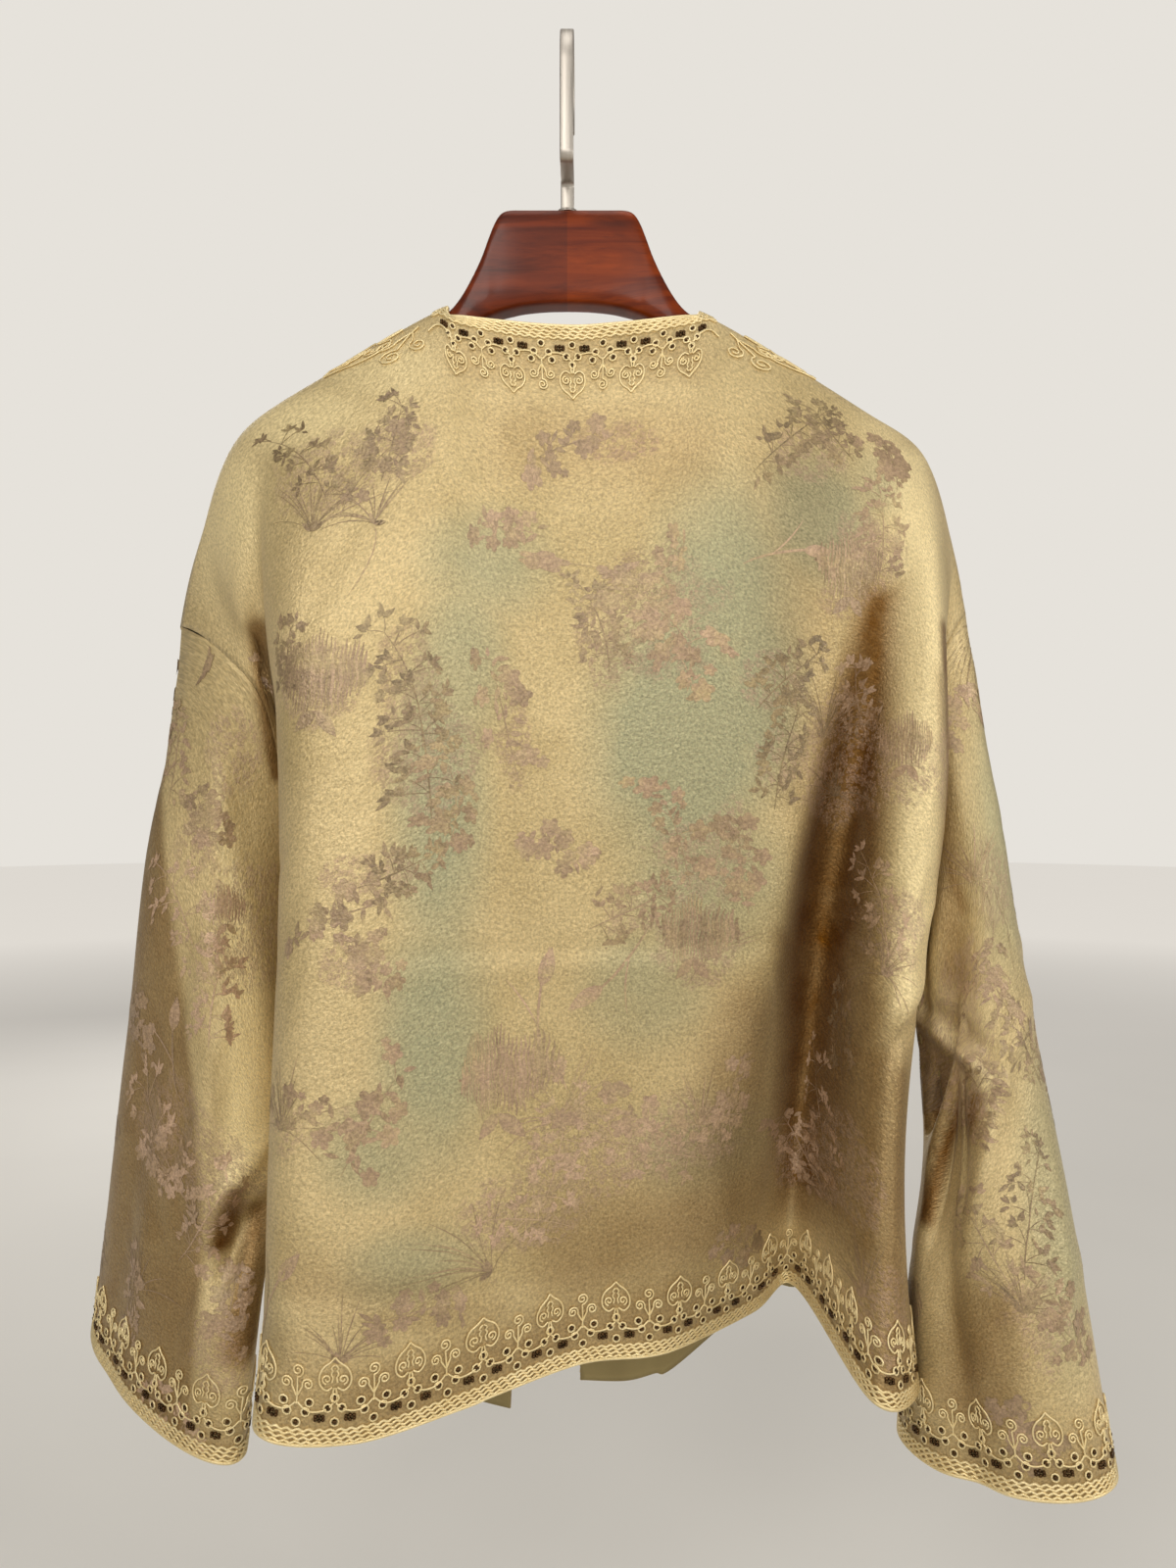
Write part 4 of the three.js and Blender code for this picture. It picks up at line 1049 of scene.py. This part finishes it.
def figures(node, materials):
    """All the woven figures of one cloth, lying on its outer face."""
    surface, (span_u, span_v) = SURFACES[node], SPANS[node]
    random = np.random.default_rng(40 + len(node))
    across, down = np.linspace(0, span_u, 181), np.linspace(0, span_v, 121)
    u, v = [places.ravel() for places in np.meshgrid(across, down, indexing="ij")]
    wanted = sprays_on(node, random, surface(u, v), normals(surface, u, v) * OUTWARD[node])
    bm = bmesh.new()
    bm.verts.layers.float.new("tone")
    bm.verts.layers.float.new("brown_and_shade")
    for kind, i, size, turn, tone in wanted:
        rims, blades = DRAWN[kind](random, size)
        shapes = [(rim, True) for rim in rims] + [(blade(line, wide), False) for line, wide in blades]
        weave_spray(bm, node, (u[i], v[i]), shapes, turn, tone, random)
    piece = finish_mesh("woven_" + node, bm, materials)
    return piece


# ------------------------------------------------------------------ hanger and hook
def loft(name, rings, materials, node):
    """A closed body through rings of equal numbers of points (mm), with crisp end faces."""
    rings = np.array(rings)
    stations, sides = rings.shape[:2]
    bm = bmesh.new()
    bmesh.ops.create_grid(bm, x_segments=stations - 1, y_segments=sides, size=0.5)
    for vert in bm.verts:
        i, k = round((vert.co.x + 0.5) * (stations - 1)), round((vert.co.y + 0.5) * sides)
        vert.co = Vector(rings[i, k % sides]) * MM
    bmesh.ops.remove_doubles(bm, verts=bm.verts[:], dist=1e-6)
    ends = [edge for edge in bm.edges if edge.is_boundary]
    bmesh.ops.holes_fill(bm, edges=ends, sides=sides)
    for edge in ends:
        edge.smooth = False
    bmesh.ops.recalc_face_normals(bm, faces=bm.faces[:])
    piece = finish_mesh(name, bm, materials)
    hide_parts(node)
    return piece


# Stations of one arm: distance from the middle, top, bottom, half thickness, squareness (mm).
ARM = [
    (0, -97, -149, 10, 3), (12, -97, -149.3, 10, 3), (24, -97, -150.5, 10, 3),
    (31, -97, -152, 9.9, 3), (35, -97.8, -153, 9.8, 3), (38, -100, -154, 9.7, 2.8),
    (41, -105, -155, 9.6, 2.5), (44, -112.5, -156.5, 9.5, 2.3), (48, -123, -159, 9.2, 2),
    (54, -135, -163, 8.8, 1.6), (60, -144.5, -168, 8, 1.3), (66, -151, -173, 6.8, 1.1),
    (74, -155.7, -179, 6.8, 1), (90, -164, -188, 8.6, 1), (110, -174.4, -199, 9.8, 1),
    (132, -185.8, -211, 11, 1), (155, -197.8, -223, 12.2, 1), (172, -206.6, -231, 12.6, 1),
    (181, -212.1, -234, 12, 1), (184.5, -215, -233, 9.6, 1), (186, -219, -230, 5.5, 1),
]
ARM_SIDES = 44


def arm_rings(side):
    """Rings along one arm of the hanger: a squared oval at each station."""
    table = np.array(ARM)
    controls = np.vstack([beyond(table[0], table[1]), table, beyond(table[-1], table[-2])])
    stations = catmull(controls, np.linspace(0, len(table) - 1, 3 * len(table)))
    angle = 2 * np.pi * (np.arange(ARM_SIDES) + 0.5) / ARM_SIDES
    rings = []
    for x, top, bottom, half, square in stations:
        power = 1 / max(square, 1)
        y = ridge_y(x) + half * np.sign(np.cos(angle)) * np.abs(np.cos(angle)) ** power
        z = (top + bottom) / 2 + (top - bottom) / 2 * np.sign(np.sin(angle)) * np.abs(np.sin(angle)) ** power
        rings.append(np.stack([np.full(ARM_SIDES, side * x), y, z], axis=1))
    return rings


# The hook's flat bar, its bend, the radius and place of the jog below it, and its foot.
HOOK_WIDTH, HOOK_THICK, HOOK_CORNER, HOOK_RADIUS = 7.4, 2.6, 0.45, 25.4
JOG_RADIUS, JOG_Z, HOOK_FOOT = 4, -74.3, -94.6


def hook_rings():
    reach = HOOK_RADIUS + HOOK_THICK / 2
    # Arcs of the middle line: centre y and z, radius, from and to (degrees), number of points.
    arcs = [
        (0, -HOOK_RADIUS, reach, -28, 180, 70),
        (-reach + JOG_RADIUS, JOG_Z, JOG_RADIUS, 180, 270, 10),
        (-JOG_RADIUS, JOG_Z - 2 * JOG_RADIUS, JOG_RADIUS, 90, 0, 10),
    ]
    line = []
    for y, z, radius, start, end, count in arcs:
        for degrees in np.linspace(start, end, count):
            a = math.radians(degrees)
            line.append((y + radius * math.cos(a), z + radius * math.sin(a)))
    line = np.array(line + [(0, HOOK_FOOT)])
    w, t, c = HOOK_WIDTH / 2, HOOK_THICK / 2, HOOK_CORNER
    section = [
        (w - c, -t), (w, -t + c), (w, t - c), (w - c, t),
        (-w + c, t), (-w, t - c), (-w, -t + c), (-w + c, -t),
    ]
    rings = []
    for i, (y, z) in enumerate(line):
        dy, dz = line[min(i + 1, len(line) - 1)] - line[max(i - 1, 0)]
        run = math.hypot(dy, dz)
        rings.append([(sx, y - dz / run * st, z + dy / run * st) for sx, st in section])
    return rings


COLLAR_BELOW, COLLAR_ABOVE, COLLAR_HIGH, COLLAR_Z = 6.4, 5.6, 1.8, -95.8


def steel_collar(materials):
    """The round collar under the hook, with a small bevel on its rims."""
    bm = bmesh.new()
    bmesh.ops.create_cone(
        bm, cap_ends=True, segments=48, depth=COLLAR_HIGH * MM, radius1=COLLAR_BELOW * MM,
        radius2=COLLAR_ABOVE * MM)
    bmesh.ops.translate(bm, verts=bm.verts[:], vec=(0, 0, COLLAR_Z * MM))
    bmesh.ops.bevel(
        bm, geom=bm.edges[:], offset=0.25 * MM, segments=2, profile=0.5, affect="EDGES", material=-1)
    collar = finish_mesh("steel_collar", bm, materials, smooth=False)
    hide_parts("hook_collar")


# ------------------------------------------------------------------ shader helpers
class Nodes:
    """Places and joins the nodes of one material or group in a few words."""

    def __init__(self, tree):
        self.tree = tree

    def fill(self, node, inputs):
        """Joins each socket given to the input of that name, and sets each plain value on it."""
        for key, value in inputs.items():
            if isinstance(value, bpy.types.NodeSocket):
                self.tree.links.new(value, node.inputs[key])
            else:
                node.inputs[key].default_value = value

    def add(self, kind, inputs=None, **settings):
        node = self.tree.nodes.new(kind)
        for key, value in settings.items():
            setattr(node, key, value)
        self.fill(node, inputs or {})
        return node

    def math(self, operation, a, b=0.0, c=0.0):
        return self.add("ShaderNodeMath", {0: a, 1: b, 2: c}, operation=operation).outputs[0]

    def ramp(self, value, low, high):
        return self.add(
            "ShaderNodeMapRange", {"Value": value, "From Min": low, "From Max": high}, clamp=True,
        ).outputs[0]

    def mix(self, factor, a, b, blend="MIX"):
        """Mixes two colours: inputs 6 and 7 of a Mix node are its colour sockets, and output 2."""
        inputs = {0: factor, 6: a, 7: b}
        return self.add("ShaderNodeMix", inputs, data_type="RGBA", blend_type=blend).outputs[2]

    def noise(self, vector, scale, detail=3.0, roughness=0.5, distortion=0.0):
        return self.add("ShaderNodeTexNoise", {
            "Vector": vector, "Scale": scale, "Detail": detail, "Roughness": roughness,
            "Distortion": distortion,
        }).outputs["Fac"]

    def attribute(self, name):
        return self.add("ShaderNodeAttribute", attribute_name=name).outputs["Fac"]

    def uv(self, name):
        return self.add("ShaderNodeUVMap", uv_map=name).outputs["UV"]

    def place(self, **mapping):
        """Object coordinates, mapped where a scale, turn or shift is given."""
        place = self.add("ShaderNodeTexCoord").outputs["Object"]
        if not mapping:
            return place
        return self.add("ShaderNodeMapping", {"Vector": place, **mapping}).outputs[0]


def rgb(red, green, blue):
    """A screen colour (0-255) as the shader's linear values."""
    def linear(c):
        c /= 255
        return c / 12.92 if c <= 0.04045 else ((c + 0.055) / 1.055) ** 2.4
    return (linear(red), linear(green), linear(blue), 1)


def new_group(name, inputs, outputs):
    group = bpy.data.node_groups.new(name, "ShaderNodeTree")
    for label, kind in inputs:
        group.interface.new_socket(name=label, in_out="INPUT", socket_type=kind)
    for label, kind in outputs:
        group.interface.new_socket(name=label, in_out="OUTPUT", socket_type=kind)
    nodes = Nodes(group)
    return group, nodes, group.nodes.new("NodeGroupInput").outputs, group.nodes.new("NodeGroupOutput").inputs


FULL_TURN = 6.283


def scattered_group():
    """Blossoms or leaves scattered over the cloth, one in each cell, each turned its own way."""
    group, n, i, o = new_group(
        "scattered figures",
        [("Vector", "NodeSocketVector"), ("Scale", "NodeSocketFloat"), ("Petals", "NodeSocketFloat"),
         ("Size", "NodeSocketFloat"), ("Slimness", "NodeSocketFloat")],
        [("Mask", "NodeSocketFloat"), ("Edge", "NodeSocketFloat")])
    cells = n.add("ShaderNodeTexVoronoi", {"Vector": i["Vector"], "Scale": i["Scale"], "Randomness": 0.85},
                  voronoi_dimensions="2D")
    local = n.add(
        "ShaderNodeVectorMath", {0: i["Vector"], 1: cells.outputs["Position"]}, operation="SUBTRACT")
    scaled = n.add("ShaderNodeVectorMath", {0: local.outputs[0], "Scale": i["Scale"]}, operation="SCALE")
    turn = n.add("ShaderNodeSeparateColor", {"Color": cells.outputs["Color"]})
    spin = n.add("ShaderNodeVectorRotate", {
        "Vector": scaled.outputs[0], "Angle": n.math("MULTIPLY", turn.outputs[0], FULL_TURN),
    }, rotation_type="Z_AXIS")
    xyz = n.add("ShaderNodeSeparateXYZ", {0: spin.outputs[0]})
    x = n.math("MULTIPLY", xyz.outputs[0], i["Slimness"])
    y = xyz.outputs[1]
    reach = n.math("SQRT", n.math("ADD", n.math("MULTIPLY", x, x), n.math("MULTIPLY", y, y)))
    angle = n.math("ARCTAN2", y, x)
    wave = n.math("ABSOLUTE", n.math("COSINE", n.math("MULTIPLY", angle, i["Petals"])))
    size = n.math("MULTIPLY", i["Size"], n.math("MULTIPLY_ADD", turn.outputs[1], 0.5, 0.65))
    rim = n.math("MULTIPLY", size, n.math("MULTIPLY_ADD", wave, 0.5, 0.5))
    gap = n.math("SUBTRACT", rim, reach)
    n.tree.links.new(n.ramp(gap, -0.02, 0.03), o["Mask"])
    n.tree.links.new(n.ramp(n.math("ABSOLUTE", gap), 0.05, 0.015), o["Edge"])
    return group


def crepe_group():
    """The fine pebbled relief of the satin, and a colour to multiply by that paints light and shade on its
    pebbles.
    """
    group, n, i, o = new_group(
        "crepe", [("Vector", "NodeSocketVector"), ("Grain", "NodeSocketFloat")],
        [("Height", "NodeSocketFloat"), ("Tint", "NodeSocketColor")])
    fine = n.noise(i["Vector"], i["Grain"], 2.0, 0.6)
    broad = n.noise(i["Vector"], n.math("MULTIPLY", i["Grain"], 0.22), 2.0, 0.6, 0.4)
    n.tree.links.new(n.math("MULTIPLY_ADD", broad, 0.8, fine), o["Height"])
    # painted light and shade of the pebbles, as a colour to multiply the base colour by
    pebbles = n.ramp(n.noise(i["Vector"], n.math("MULTIPLY", i["Grain"], 1.2), 3.0, 0.7, 0.6), 0.36, 0.64)
    n.tree.links.new(n.mix(pebbles, (0.74, 0.73, 0.7, 1), (1.22, 1.21, 1.17, 1)), o["Tint"])
    return group


SCATTERED = scattered_group()
CREPE = crepe_group()


def figure(n, vector, scale, petals, size, slimness=1.0):
    node = n.add("ShaderNodeGroup", {
        "Vector": vector, "Scale": scale, "Petals": petals, "Size": size, "Slimness": slimness,
    }, node_tree=SCATTERED)
    return node.outputs["Mask"], node.outputs["Edge"]


CREPE_GRAIN, CREPE_STRENGTH, CREPE_RELIEF = 500, 0.55, 0.0012


def crepe_at(n, vector):
    return n.add("ShaderNodeGroup", {"Vector": vector, "Grain": CREPE_GRAIN}, node_tree=CREPE).outputs


def material(name):
    """A new material, the way into its nodes, and its shader."""
    made = bpy.data.materials.new(name)
    made.use_nodes = True
    made.node_tree.nodes.clear()
    n = Nodes(made.node_tree)
    shader = n.add("ShaderNodeBsdfPrincipled")
    output = n.add("ShaderNodeOutputMaterial")
    n.tree.links.new(shader.outputs[0], output.inputs[0])
    return made, n, shader


def bump(n, shader, height, strength, distance):
    made = n.add("ShaderNodeBump", {"Height": height, "Strength": strength, "Distance": distance})
    n.fill(shader, {"Normal": made.outputs[0]})


# ------------------------------------------------------------------ finishes
def silk_outside():
    """Gold satin that turns sage or brown by areas, dark brown under painted shade and pale under painted
    light, with scattered figures, a crepe relief with painted light and shade on its pebbles, and fine
    painted glints.
    """
    made, n, shader = material("silk jacquard")
    flat = n.uv("flat")
    cloud = n.noise(flat, 11, 4, 0.6, 0.3)
    soft = n.noise(flat, 38, 3, 0.6, 0.5)
    wobble = n.math("MULTIPLY_ADD", soft, 0.5, n.math("MULTIPLY", cloud, 0.7))
    gold = n.mix(n.ramp(cloud, 0.38, 0.64), rgb(182, 160, 112), rgb(204, 182, 134))
    sage_amount = n.ramp(n.math("MULTIPLY", n.attribute("sage"), n.math("ADD", wobble, 0.45)), 0.12, 0.75)
    ground = n.mix(sage_amount, gold, rgb(154, 152, 118))
    # painted light: the ground turns pale gold by this attribute
    ground = n.mix(n.math("MULTIPLY", n.attribute("pale"), 0.9), ground, rgb(250, 231, 178))
    # painted shade, with a few real brown patches: the ground turns dark brown by this attribute
    brown_and_shade_amount = n.math("MULTIPLY", n.attribute("brown_and_shade"), n.math("ADD", wobble, 0.3))
    ground = n.mix(brown_and_shade_amount, ground, rgb(112, 70, 8))

    blossom, blossom_rim = figure(n, flat, 92.0, 2.5, 0.46)
    small, small_rim = figure(n, flat, 165.0, 2.5, 0.44)
    leaf, leaf_rim = figure(n, flat, 120.0, 1.0, 0.5, 2.3)
    sprig = n.noise(flat, 75, 2, 0.5, 1.2)
    stem = n.ramp(n.math("ABSOLUTE", n.math("SUBTRACT", sprig, 0.5)), 0.022, 0.008)
    figures = n.math("MAXIMUM", n.math("MAXIMUM", blossom, small), n.math("MAXIMUM", leaf, stem))
    rims = n.math("MAXIMUM", blossom_rim, n.math("MAXIMUM", leaf_rim, small_rim))
    patch = n.math("MULTIPLY_ADD", n.noise(flat, 30, 3, 0.7), 1.3, n.attribute("spray"))
    inside = n.ramp(patch, 1.12, 1.3)
    filled = n.math("MULTIPLY", figures, n.math("SUBTRACT", 1.0, n.math("MULTIPLY", rims, 0.8)))
    woven = n.math("MULTIPLY", filled, inside)

    thread = n.mix(n.ramp(cloud, 0.35, 0.65), rgb(160, 134, 110), rgb(178, 146, 124))
    grain = n.ramp(n.noise(flat, 760, 2, 0.6), 0.4, 0.6)
    woven = n.math("MULTIPLY", woven, n.math("MULTIPLY_ADD", grain, 0.6, 0.3))
    # painted glints: fine pale speckles of the crepe, fewer in the painted shade
    light = n.math("MULTIPLY", grain, n.math("MULTIPLY_ADD", brown_and_shade_amount, -0.2, 0.2))
    ground = n.mix(light, ground, rgb(232, 214, 168))
    color = n.mix(n.math("MULTIPLY", woven, 0.8), ground, thread)
    crepe = crepe_at(n, flat)
    # more metallic, so a more saturated brown, in the painted shade
    metal = n.math("MULTIPLY_ADD", brown_and_shade_amount, 0.55, 0.3)
    # less metallic in the painted light
    metal = n.math("MULTIPLY_ADD", n.attribute("pale"), -0.28, metal)
    # the base colour is multiplied by the crepe's painted pebble light and shade
    n.fill(shader, {
        "Base Color": n.mix(1.0, color, crepe["Tint"], "MULTIPLY"),
        "Roughness": n.math("MULTIPLY_ADD", woven, 0.12, n.math("MULTIPLY_ADD", soft, 0.12, 0.44)),
        "Metallic": n.math("MULTIPLY_ADD", woven, -0.2, metal),
        "Sheen Weight": 0.08, "Sheen Roughness": 0.4,
    })
    relief = n.math("MULTIPLY_ADD", woven, 0.3, crepe["Height"])
    bump(n, shader, relief, CREPE_STRENGTH, CREPE_RELIEF)
    return made


def silk_figures():
    """The woven sprays: thread from brown to pink by their tone, with the ground showing through, browner,
    darker and showing more under the cloth's painted shade.
    """
    made, n, shader = material("silk figures")
    place = n.place()
    cloud = n.noise(place, 26, 3, 0.6)
    tone = n.math("MULTIPLY_ADD", n.math("SUBTRACT", cloud, 0.5), 0.7, n.attribute("tone"))
    low = n.mix(n.ramp(tone, 0.0, 0.5), rgb(118, 100, 74), rgb(160, 134, 108))
    thread = n.mix(n.ramp(tone, 0.45, 1.0), low, rgb(198, 166, 140))
    grain = n.ramp(n.noise(place, 760, 2, 0.6), 0.4, 0.62)
    gaps = n.math("MULTIPLY_ADD", grain, 0.5, n.ramp(n.noise(place, 60, 3), 0.46, 0.74))
    # the figures' ground is darker brown, and shows through more, under the painted shade
    brown_and_shade = n.attribute("brown_and_shade")
    ground = n.mix(brown_and_shade, rgb(188, 168, 122), rgb(112, 76, 24))
    color = n.mix(n.math("MULTIPLY_ADD", brown_and_shade, 0.1, n.math("MULTIPLY", gaps, 0.6)), thread, ground)
    crepe = crepe_at(n, place)
    # the base colour is multiplied by the crepe's painted pebble light and shade
    n.fill(shader, {
        "Base Color": n.mix(1.0, color, crepe["Tint"], "MULTIPLY"),
        "Roughness": n.math("MULTIPLY_ADD", cloud, 0.2, 0.36),
        "Metallic": 0.22,
    })
    bump(n, shader, crepe["Height"], CREPE_STRENGTH, CREPE_RELIEF)
    return made


def silk_inside():
    made, n, shader = material("silk reverse")
    flat = n.uv("flat")
    cloud = n.ramp(n.noise(flat, 14, 3, 0.6), 0.35, 0.65)
    color = n.mix(cloud, rgb(150, 132, 84), rgb(164, 146, 96))
    n.fill(shader, {"Base Color": color, "Roughness": 0.45, "Metallic": 0.25})
    bump(n, shader, n.noise(flat, 700, 2, 0.6), 0.25, 0.0005)
    return made


def gold_cord():
    made, n, shader = material("gold cord")
    place = n.place()
    color = n.mix(n.noise(place, 90, 2), rgb(226, 200, 140), rgb(255, 238, 190))
    n.fill(shader, {"Base Color": color, "Roughness": 0.42, "Metallic": 0.45})
    bump(n, shader, n.noise(place, 2400, 1), 0.5, 0.0003)
    return made


def bronze_bead():
    made, n, shader = material("bronze bead")
    color = n.mix(n.noise(n.place(), 260, 1), rgb(38, 28, 18), rgb(104, 74, 40))
    n.fill(shader, {"Base Color": color, "Roughness": 0.22, "Metallic": 0.85})
    return made


def polished_wood(name, dark, light, shift):
    """Red-brown wood with long streaks, broad dark bands from their own shift, and fine pores."""
    made, n, shader = material(name)
    streaks = n.noise(n.place(Rotation=(0, 0.35, 0.1), Scale=(6, 26, 34)), 1.6, 6, 0.62, 1.4)
    pores = n.noise(n.place(Scale=(60, 500, 620)), 1.0, 3, 0.7)
    bands = n.noise(n.place(Scale=(9, 9, 22), Location=shift), 1.4, 3, 0.5, 1.0)
    color = n.mix(n.ramp(streaks, 0.34, 0.66), dark, light)
    color = n.mix(n.ramp(bands, 0.52, 0.72), color, rgb(58, 22, 14))
    color = n.mix(n.math("MULTIPLY", n.ramp(pores, 0.56, 0.72), 0.4), color, rgb(50, 20, 12))
    n.fill(shader, {
        "Base Color": color, "Roughness": 0.42, "Specular IOR Level": 0.16,
        "Coat Weight": 0.14, "Coat Roughness": 0.16,
    })
    bump(n, shader, pores, 0.08, 0.0004)
    return made


def brushed_steel():
    made, n, shader = material("brushed steel")
    lines = n.noise(n.place(Scale=(1800, 60, 60)), 1.0, 4, 0.6)
    n.fill(shader, {
        "Base Color": n.mix(lines, rgb(162, 156, 147), rgb(208, 200, 190)),
        "Roughness": n.math("MULTIPLY_ADD", lines, 0.2, 0.38),
        "Metallic": 1.0,
    })
    bump(n, shader, lines, 0.12, 0.0002)
    return made


OUTSIDE, INSIDE, WOVEN = silk_outside(), silk_inside(), silk_figures()
CORD_GOLD, BEAD_BRONZE = gold_cord(), bronze_bead()
WOOD_DARK = polished_wood("wood dark half", rgb(66, 20, 5), rgb(122, 48, 14), (0.3, 0.1, 0.4))
WOOD_LIGHT = polished_wood("wood light half", rgb(80, 23, 3), rgb(138, 56, 11), (1.4, 0.7, 0.1))
STEEL = brushed_steel()

# ------------------------------------------------------------------ making the pieces
# Faces across and down each cloth.
GRIDS = {
    "back": (190, 150), "front_left": (66, 140), "front_right": (72, 140),
    "sleeve_left": (96, 112), "sleeve_right": (96, 112),
}
cloths = {node: cloth(node, *grid, [OUTSIDE, INSIDE]) for node, grid in GRIDS.items()}

# Borders of each cloth: name, solid replaced, places along u, v at the edge and further in, repeats.
BORDERS = {
    "back": [
        ("border_hem_back", "braid_hem_back", np.linspace(0, 14, 240), 7, 6, 18),
        ("border_neck_back", "braid_neck_back", np.linspace(4, 8, 90), 0, 3, 5),
    ],
    "front_left": [
        ("border_hem_front_left", "braid_hem_front_left", np.linspace(0, 7, 120), 7, 6, 8),
        ("border_neck_front_left", "braid_neck_front_left", np.linspace(4, 7, 60), 0, 3, 3),
    ],
    "front_right": [
        ("border_hem_front_right", "braid_hem_front_right", np.linspace(0, 9, 120), 7, 6, 8),
        ("border_neck_front_right", "braid_neck_front_right", np.linspace(0, 3, 60), 0, 3, 3),
    ],
    "sleeve_left": [("border_cuff_left", "braid_cuff_left", np.linspace(0, 1, 120), 4, 3, 9)],
    "sleeve_right": [("border_cuff_right", "braid_cuff_right", np.linspace(0, 1, 120), 4, 3, 9)],
}
# The neck border's figures that fan round its corners: cloth, u, v, turn and drawing.
NECK_CORNERS = [
    ("back", 4.1, 0.2, 116, [line - (0, 8) for line in medallion()]),
    ("back", 4.1, 0.2, 146, [line - (0, 7) for line in trefoil()]),
    ("back", 7.9, 0.2, -116, [line - (0, 8) for line in medallion()]),
    ("back", 7.9, 0.2, -146, [line - (0, 7) for line in trefoil()]),
]
for node, (piece, flat_size, flat_area) in cloths.items():
    trims = [
        cords(
            name, Edge(node, us, v_edge, v_in), repeats, [CORD_GOLD, BEAD_BRONZE], replaced, "sleeve" in node,
            NECK_CORNERS if name == "border_neck_back" else ())
        for name, replaced, us, v_edge, v_in, repeats in BORDERS[node]
    ]
    trims.append(figures(node, [WOVEN]))

loft("wood_left", arm_rings(-1), [WOOD_DARK], "hanger_left")
loft("wood_right", arm_rings(1), [WOOD_LIGHT], "hanger_right")
loft("steel_hook", hook_rings(), [STEEL], "hook")
steel_collar([STEEL])

# ------------------------------------------------------------------ stage, lights and camera
FLOOR_Z, FLOOR_RADIUS = -1.02, 9


def stage_floor():
    """A pale floor that glows a little more with distance, so that it meets the pale room."""
    made, n, shader = material("pale floor")
    place = n.place()
    away = n.add("ShaderNodeVectorMath", {0: place}, operation="LENGTH").outputs["Value"]
    n.fill(shader, {
        "Base Color": n.mix(n.noise(place, 3, 2), rgb(204, 201, 195), rgb(212, 209, 203)),
        "Roughness": 0.8,
        "Emission Color": n.mix(n.ramp(away, 1.2, 4.5), rgb(80, 79, 76), rgb(206, 202, 196)),
        "Emission Strength": 1.0,
    })
    bm = bmesh.new()
    bmesh.ops.create_circle(bm, cap_ends=True, segments=96, radius=FLOOR_RADIUS)
    bmesh.ops.translate(bm, verts=bm.verts[:], vec=(0, 0, FLOOR_Z))
    mesh = bpy.data.meshes.new("floor")
    bm.to_mesh(mesh)
    bm.free()
    mesh.materials.append(made)
    floor = bpy.data.objects.new("floor", mesh)
    bpy.context.scene.collection.objects.link(floor)


stage_floor()

MIDDLE = (0, 0, -0.45)
WARM, SOFT_WARM = (1.0, 0.98, 0.94), (1.0, 0.98, 0.95)
# Soft lamps turned to the garment's middle: name, place and size (m), power (W) and colour.
LAMPS = [
    ("key", (-0.75, -2.0, 0.75), 1.0, 21.5, WARM),
    ("camera_fill", (0.45, -2.1, 0.35), 0.8, 11, WARM),
    ("overhead", (0.0, -0.3, 1.4), 1.2, 9, SOFT_WARM),
    ("right", (1.8, -0.7, 0.1), 0.8, 13, SOFT_WARM),
    ("front_fill", (-0.5, 2.0, 0.4), 1.6, 20, SOFT_WARM),
]
for name, place, size, power, color in LAMPS:
    data = bpy.data.lights.new(name, "AREA")
    data.shape = "DISK"
    data.size, data.energy, data.color = size, power, color
    lamp = bpy.data.objects.new(name, data)
    lamp.location = place
    lamp.rotation_euler = (Vector(MIDDLE) - Vector(place)).to_track_quat("-Z", "Y").to_euler()
    bpy.context.scene.collection.objects.link(lamp)

# The room looks pale, but gives the garment only a little light of its own.
world = bpy.data.worlds.new("room")
world.use_nodes = True
room = Nodes(world.node_tree)
air = world.node_tree.nodes["Background"]
to_camera = room.add("ShaderNodeLightPath").outputs["Is Camera Ray"]
seen_and_lit = room.mix(to_camera, rgb(112, 108, 102), rgb(230, 226, 219))
room.fill(air, {"Color": seen_and_lit, "Strength": 1.0})
bpy.context.scene.world = world
bpy.context.scene.view_settings.view_transform = "Standard"

FOCAL_LENGTH, SENSOR_WIDTH, NEAR = 27.0, 36.0, 0.01
EYE, LEVEL_VIEW = (0.0115, -0.660, -0.416), (math.radians(90), 0, 0)
lens = bpy.data.cameras.new("view")
lens.lens, lens.sensor_width, lens.clip_start = FOCAL_LENGTH, SENSOR_WIDTH, NEAR
camera = bpy.data.objects.new("view", lens)
camera.location = EYE
camera.rotation_euler = LEVEL_VIEW
bpy.context.scene.collection.objects.link(camera)
bpy.context.scene.camera = camera
